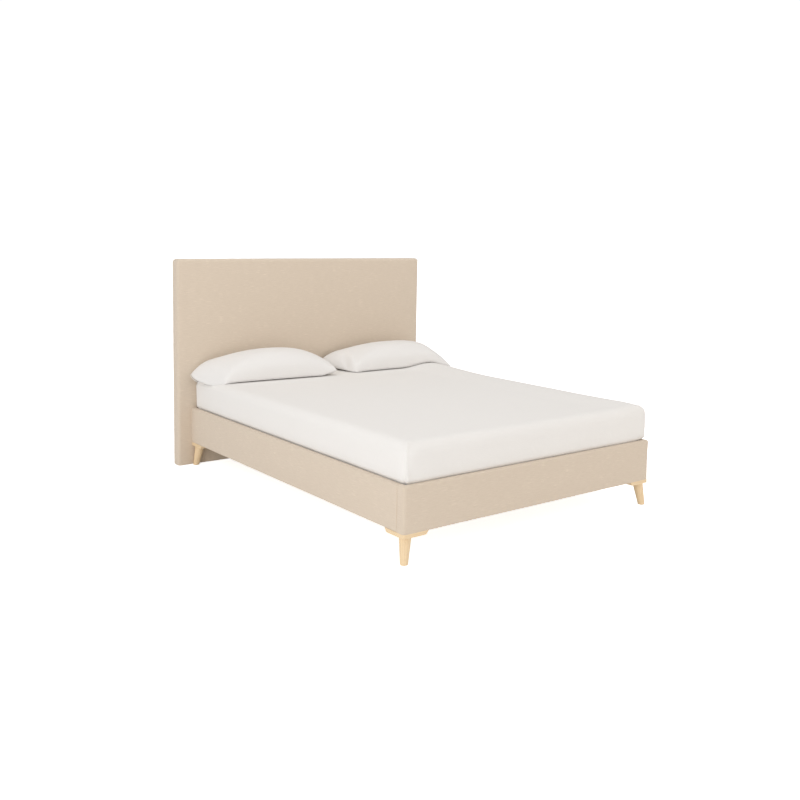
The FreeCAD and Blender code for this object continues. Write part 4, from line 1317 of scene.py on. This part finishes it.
# %% Row tree
row_tree, row_in, row_out = line_tree("row_of_bits", [
    ("Spacing", "NodeSocketFloat", 0.006), ("Length", "NodeSocketFloat", 0.004),
    ("Thickness", "NodeSocketFloat", 0.0008), ("Rise", "NodeSocketFloat", 0.0008),
    ("Outwards", "NodeSocketVector", (0, 0, 1))])
given = row_in.outputs
spots = add_node(row_tree, "GeometryNodeCurveToPoints", mode="LENGTH")
lie_along = add_node(row_tree, "FunctionNodeAlignRotationToVector", axis="X")
face_out = add_node(row_tree, "FunctionNodeAlignRotationToVector", axis="Z", pivot_axis="X")
wire_up(row_tree, (given["Geometry"], spots.inputs["Curve"]), (given["Spacing"], spots.inputs["Length"]),
        (spots.outputs["Tangent"], lie_along.inputs["Vector"]),
        (lie_along.outputs["Rotation"], face_out.inputs["Rotation"]),
        (given["Outwards"], face_out.inputs["Vector"]))
bit = add_node(row_tree, "GeometryNodeCurvePrimitiveBezierSegment", mode="POSITION")
bit.inputs["Resolution"].default_value = 6
half_length, minus_half = times(row_tree, given["Length"], 0.5), times(row_tree, given["Length"], -0.5)
sunk, lift = times(row_tree, given["Thickness"], -0.7), times(row_tree, given["Rise"], 1.3)
for socket, x_place, z_place in (("Start", minus_half, sunk), ("Start Handle", minus_half, lift),
                                 ("End Handle", half_length, lift), ("End", half_length, sunk)):
    corner = add_node(row_tree, "ShaderNodeCombineXYZ")
    wire_up(row_tree, (x_place, corner.inputs["X"]), (z_place, corner.inputs["Z"]),
            (corner.outputs[0], bit.inputs[socket]))
wire = add_node(row_tree, "GeometryNodeCurveToMesh")
wire.inputs["Fill Caps"].default_value = True
copies = add_node(row_tree, "GeometryNodeInstanceOnPoints")
wire_up(row_tree, (bit.outputs[0], wire.inputs["Curve"]),
        (round_section(row_tree, given["Thickness"]), wire.inputs["Profile Curve"]),
        (spots.outputs["Points"], copies.inputs["Points"]), (wire.outputs[0], copies.inputs["Instance"]),
        (face_out.outputs["Rotation"], copies.inputs["Rotation"]))
end_tree(row_tree, copies.outputs[0], row_in, row_out)

# %% Welt tree
welt_tree, welt_in, welt_out = line_tree("sewn_welt", [("Thickness", "NodeSocketFloat", 0.0024)])
sweep = add_node(welt_tree, "GeometryNodeCurveToMesh")
wire_up(welt_tree, (welt_in.outputs["Geometry"], sweep.inputs["Curve"]),
        (round_section(welt_tree, welt_in.outputs["Thickness"]), sweep.inputs["Profile Curve"]))
end_tree(welt_tree, sweep.outputs[0], welt_in, welt_out)


# %% Use of a tree
def along_lines(name, lines, tree, closed=False, **inputs):
    """Runs a tree over lines of points and keeps the result as a plain mesh piece."""
    curve = bpy.data.curves.new(name + "_line", "CURVE")
    curve.dimensions = "3D"
    for line in lines:
        spline = curve.splines.new("POLY")
        spline.points.add(len(line) - 1)
        for point, place in zip(spline.points, line):
            point.co = (*place, 1.0)
        spline.use_cyclic_u = closed
    guide = bpy.data.objects.new(name + "_line", curve)
    scene.collection.objects.link(guide)
    modifier = guide.modifiers.new("row", "NODES")
    modifier.node_group = tree
    identifiers = {item.name: item.identifier for item in tree.interface.items_tree
                   if item.item_type == "SOCKET" and item.in_out == "INPUT"}
    for input_name, value in inputs.items():
        modifier[identifiers[input_name]] = value
    evaluated = guide.evaluated_get(bpy.context.evaluated_depsgraph_get())
    mesh = bpy.data.meshes.new_from_object(evaluated)
    bpy.data.objects.remove(guide)
    mesh.name = name
    piece = bpy.data.objects.new(name, mesh)
    scene.collection.objects.link(piece)
    print(name, len(mesh.polygons), "faces")
    return piece


# %% Staples
STAPLE = {"Length": 0.011, "Thickness": 0.0009, "Rise": 0.0006, "Material": zinc}
STAPLE_INSET = 0.009
sx, sz0, sz1 = cloth_high.x - STAPLE_INSET, cloth_low.z + STAPLE_INSET, cloth_high.z - STAPLE_INSET
staple_y = cloth_high.y + 0.0002
staple_line = [(x, staple_y, z) for x, z in ((-sx, sz0), (sx, sz0), (sx, sz1), (-sx, sz1), (-sx, sz0))]
back_staples = along_lines(
    "headboard_back_staples", [staple_line], row_tree, Spacing=0.045, Outwards=(0, 1, 0), **STAPLE)

flap_z = rail_high - 0.5 * (rail_high - upper_flap_start)
flap_inside = half_width - rail_thickness - 0.0001
flap_ends = rail_box[0].y + 0.03, rail_box[1].y - 0.03
rail_staples = {}
for side, sign in (("left", -1), ("right", 1)):
    flap_line = [(sign * flap_inside, y, flap_z) for y in flap_ends]
    rail_staples[side] = along_lines(
        f"side_rail_staples_{side}", [flap_line], row_tree, Spacing=0.05, Outwards=(-sign, 0, 0), **STAPLE)

# %% [markdown]
# The pillows' seams and the darts at the sheet's corners are sewn edges. Each is a thin round
# welt along the points that were kept when its cloth was made.

# %% Pillow seams and corner darts
pillow_welts = {}
for side, seam in pillow_seams.items():
    pillow_welts[side] = along_lines(
        f"pillow_{side}_seam", [seam], welt_tree, closed=True, Thickness=0.0028, Material=pillow_cotton)
sheet_darts = along_lines(
    "fitted_sheet_darts", dart_lines, welt_tree, Thickness=0.0026, Material=sheet_cotton)

# %% [markdown]
# ## Finishes for the hard parts
# The frame, slats, legs and hardware keep the shape they were designed with, and only get their
# finish. Wood is given by the direction its grain runs in.

# %% Finish the carried-over parts
finishes = {}
for side in ("left", "right"):
    finishes[f"headboard_stile_{side}"] = pine["z"]
    finishes[f"side_rail_{side}"] = ply["y"]
    finishes[f"side_rail_foam_{side}"] = foam
    finishes[f"slat_ledger_{side}"] = pine["y"]
    finishes[f"foot_return_{side}"] = ply["y"]
    finishes[f"slat_tape_{side}"] = webbing
    for end in ("foot", "head"):
        finishes[f"corner_plate_{end}_{side}"] = oak["x"]
        finishes[f"leg_{end}_{side}"] = oak["z"]
for level_name in ("top", "middle", "bottom"):
    finishes[f"headboard_{level_name}_rail"] = pine["x"]
for number in range(1, 13):
    finishes[f"slat_{number:02d}"] = pine["x"]
finishes |= {
    "headboard_front_panel": ply["x"], "headboard_foam": foam, "foot_foam": foam,
    "foot_rail": ply["x"], "head_rail": pine["x"], "centre_beam": pine["y"],
    "centre_leg": pine["z"], "centre_foot": nylon, "floor_glides": pale_nylon,
    "corner_brackets": zinc, "frame_bolts": zinc, "wood_screws": zinc, "leg_bolts": zinc,
    "beam_hanger_foot": zinc, "beam_hanger_head": zinc}
for node_name, material in finishes.items():
    for material_slot in nodes[node_name].material_slots:
        material_slot.material = material
print("finished", len(finishes), "parts;", "made again:", sorted(n for n in nodes if n not in finishes))

# %% [markdown]
# ## What rides on what
# Each new piece rides on the body it moves with, and the CAD part that it stands for is hidden.

# %% Ride and replace
frame_pieces = [(headboard, "headboard_cover", "linen"), (foot_cover, "foot_cover", "linen")]
frame_pieces += [(cover, f"side_rail_cover_{side}", "linen") for side, cover in side_covers.items()]
for piece, node_name, slot_name in frame_pieces:
    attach(piece, "frame")
    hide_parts(node_name)

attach(back_cloth, "frame")
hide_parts("headboard_back_cloth")

for piece in (back_staples, *rail_staples.values()):
    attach(piece, "frame")

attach(mattress, "mattress")
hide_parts("mattress")

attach(sheet, "mattress")
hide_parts("fitted_sheet")
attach(sheet_darts, "mattress")

for side, pillow in pillows.items():
    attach(pillow, f"pillow_{side}")
    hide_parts(f"pillow_{side}")
    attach(pillow_welts[side], f"pillow_{side}")
print("declared:", len(frame_pieces), "covers, 2 sheets, a mattress and", len(pillows), "pillows")

# %% [markdown]
# ## Floor and light
# A pale studio: a wide white floor, an even white surround, and one large soft lamp low on the
# left, so the long side of the bed is its brightest face and shadows stay faint. An overhead
# lamp evens out the sheet, and a small warm one lights the foot and its legs. The floor glows
# for the camera more than for the bed, or its light would wash out the underside.

# %% Floor
bpy.ops.mesh.primitive_circle_add(vertices=96, radius=40.0, fill_type="NGON")
floor = bpy.context.object
floor.name = "studio_floor"
floor_white, tree, shader = new_material("studio_white", roughness=0.9, Specular_IOR_Level=0.1)
floor_tone = noise_node(tree, object_place(tree), 0.8)
paint(tree, shader, floor_tone, (0.93, 0.93, 0.93, 1), (0.95, 0.95, 0.95, 1))
shader.inputs["Emission Color"].default_value = (1, 1, 1, 1)
seen_directly = times(tree, add_node(tree, "ShaderNodeLightPath").outputs["Is Camera Ray"], 0.70)
tree.links.new(plus(tree, seen_directly, 0.08), shader.inputs["Emission Strength"])
floor.data.materials.append(floor_white)
print("floor", floor.name, "with", floor_white.name)

# %% Light
world = bpy.data.worlds.new("studio")
scene.world = world
world.use_nodes = True
sky = world.node_tree
surround = sky.nodes["Background"]
surround.inputs["Color"].default_value = (1.0, 0.99, 0.98, 1)
surround.inputs["Strength"].default_value = 0.61
seen = add_node(sky, "ShaderNodeBackground")
seen.inputs["Color"].default_value = (1, 1, 1, 1)
seen.inputs["Strength"].default_value = 1.05
path = add_node(sky, "ShaderNodeLightPath")
choose = add_node(sky, "ShaderNodeMixShader")
wire_up(sky, (path.outputs["Is Camera Ray"], choose.inputs[0]), (surround.outputs[0], choose.inputs[1]),
        (seen.outputs[0], choose.inputs[2]),
        (choose.outputs[0], sky.nodes["World Output"].inputs["Surface"]))


def soft_lamp(name, place, aim, size, power, colour=(1, 1, 1)):
    """A square lamp at that place, turned to the aim."""
    lamp = bpy.data.objects.new(name, bpy.data.lights.new(name, "AREA"))
    lamp.data.shape = "SQUARE"
    lamp.data.size = size
    lamp.data.energy = power
    lamp.data.color = colour
    lamp.location = place
    lamp.rotation_euler = (Vector(aim) - Vector(place)).to_track_quat("-Z", "Y").to_euler()
    scene.collection.objects.link(lamp)


soft_lamp("key", (-6.0, -3.2, 2.6), (0, 0, 0.5), 4.0, 146.0, (0.975, 0.985, 1.0))
soft_lamp("overhead", (0.0, -0.5, 5.0), (0, 0, 0.5), 5.0, 76.0)
soft_lamp("front_fill", (3.4, -5.2, 1.1), (0.4, -1.0, 0.3), 3.0, 48.0, (1.0, 0.90, 0.79))
scene.view_settings.view_transform = "Standard"
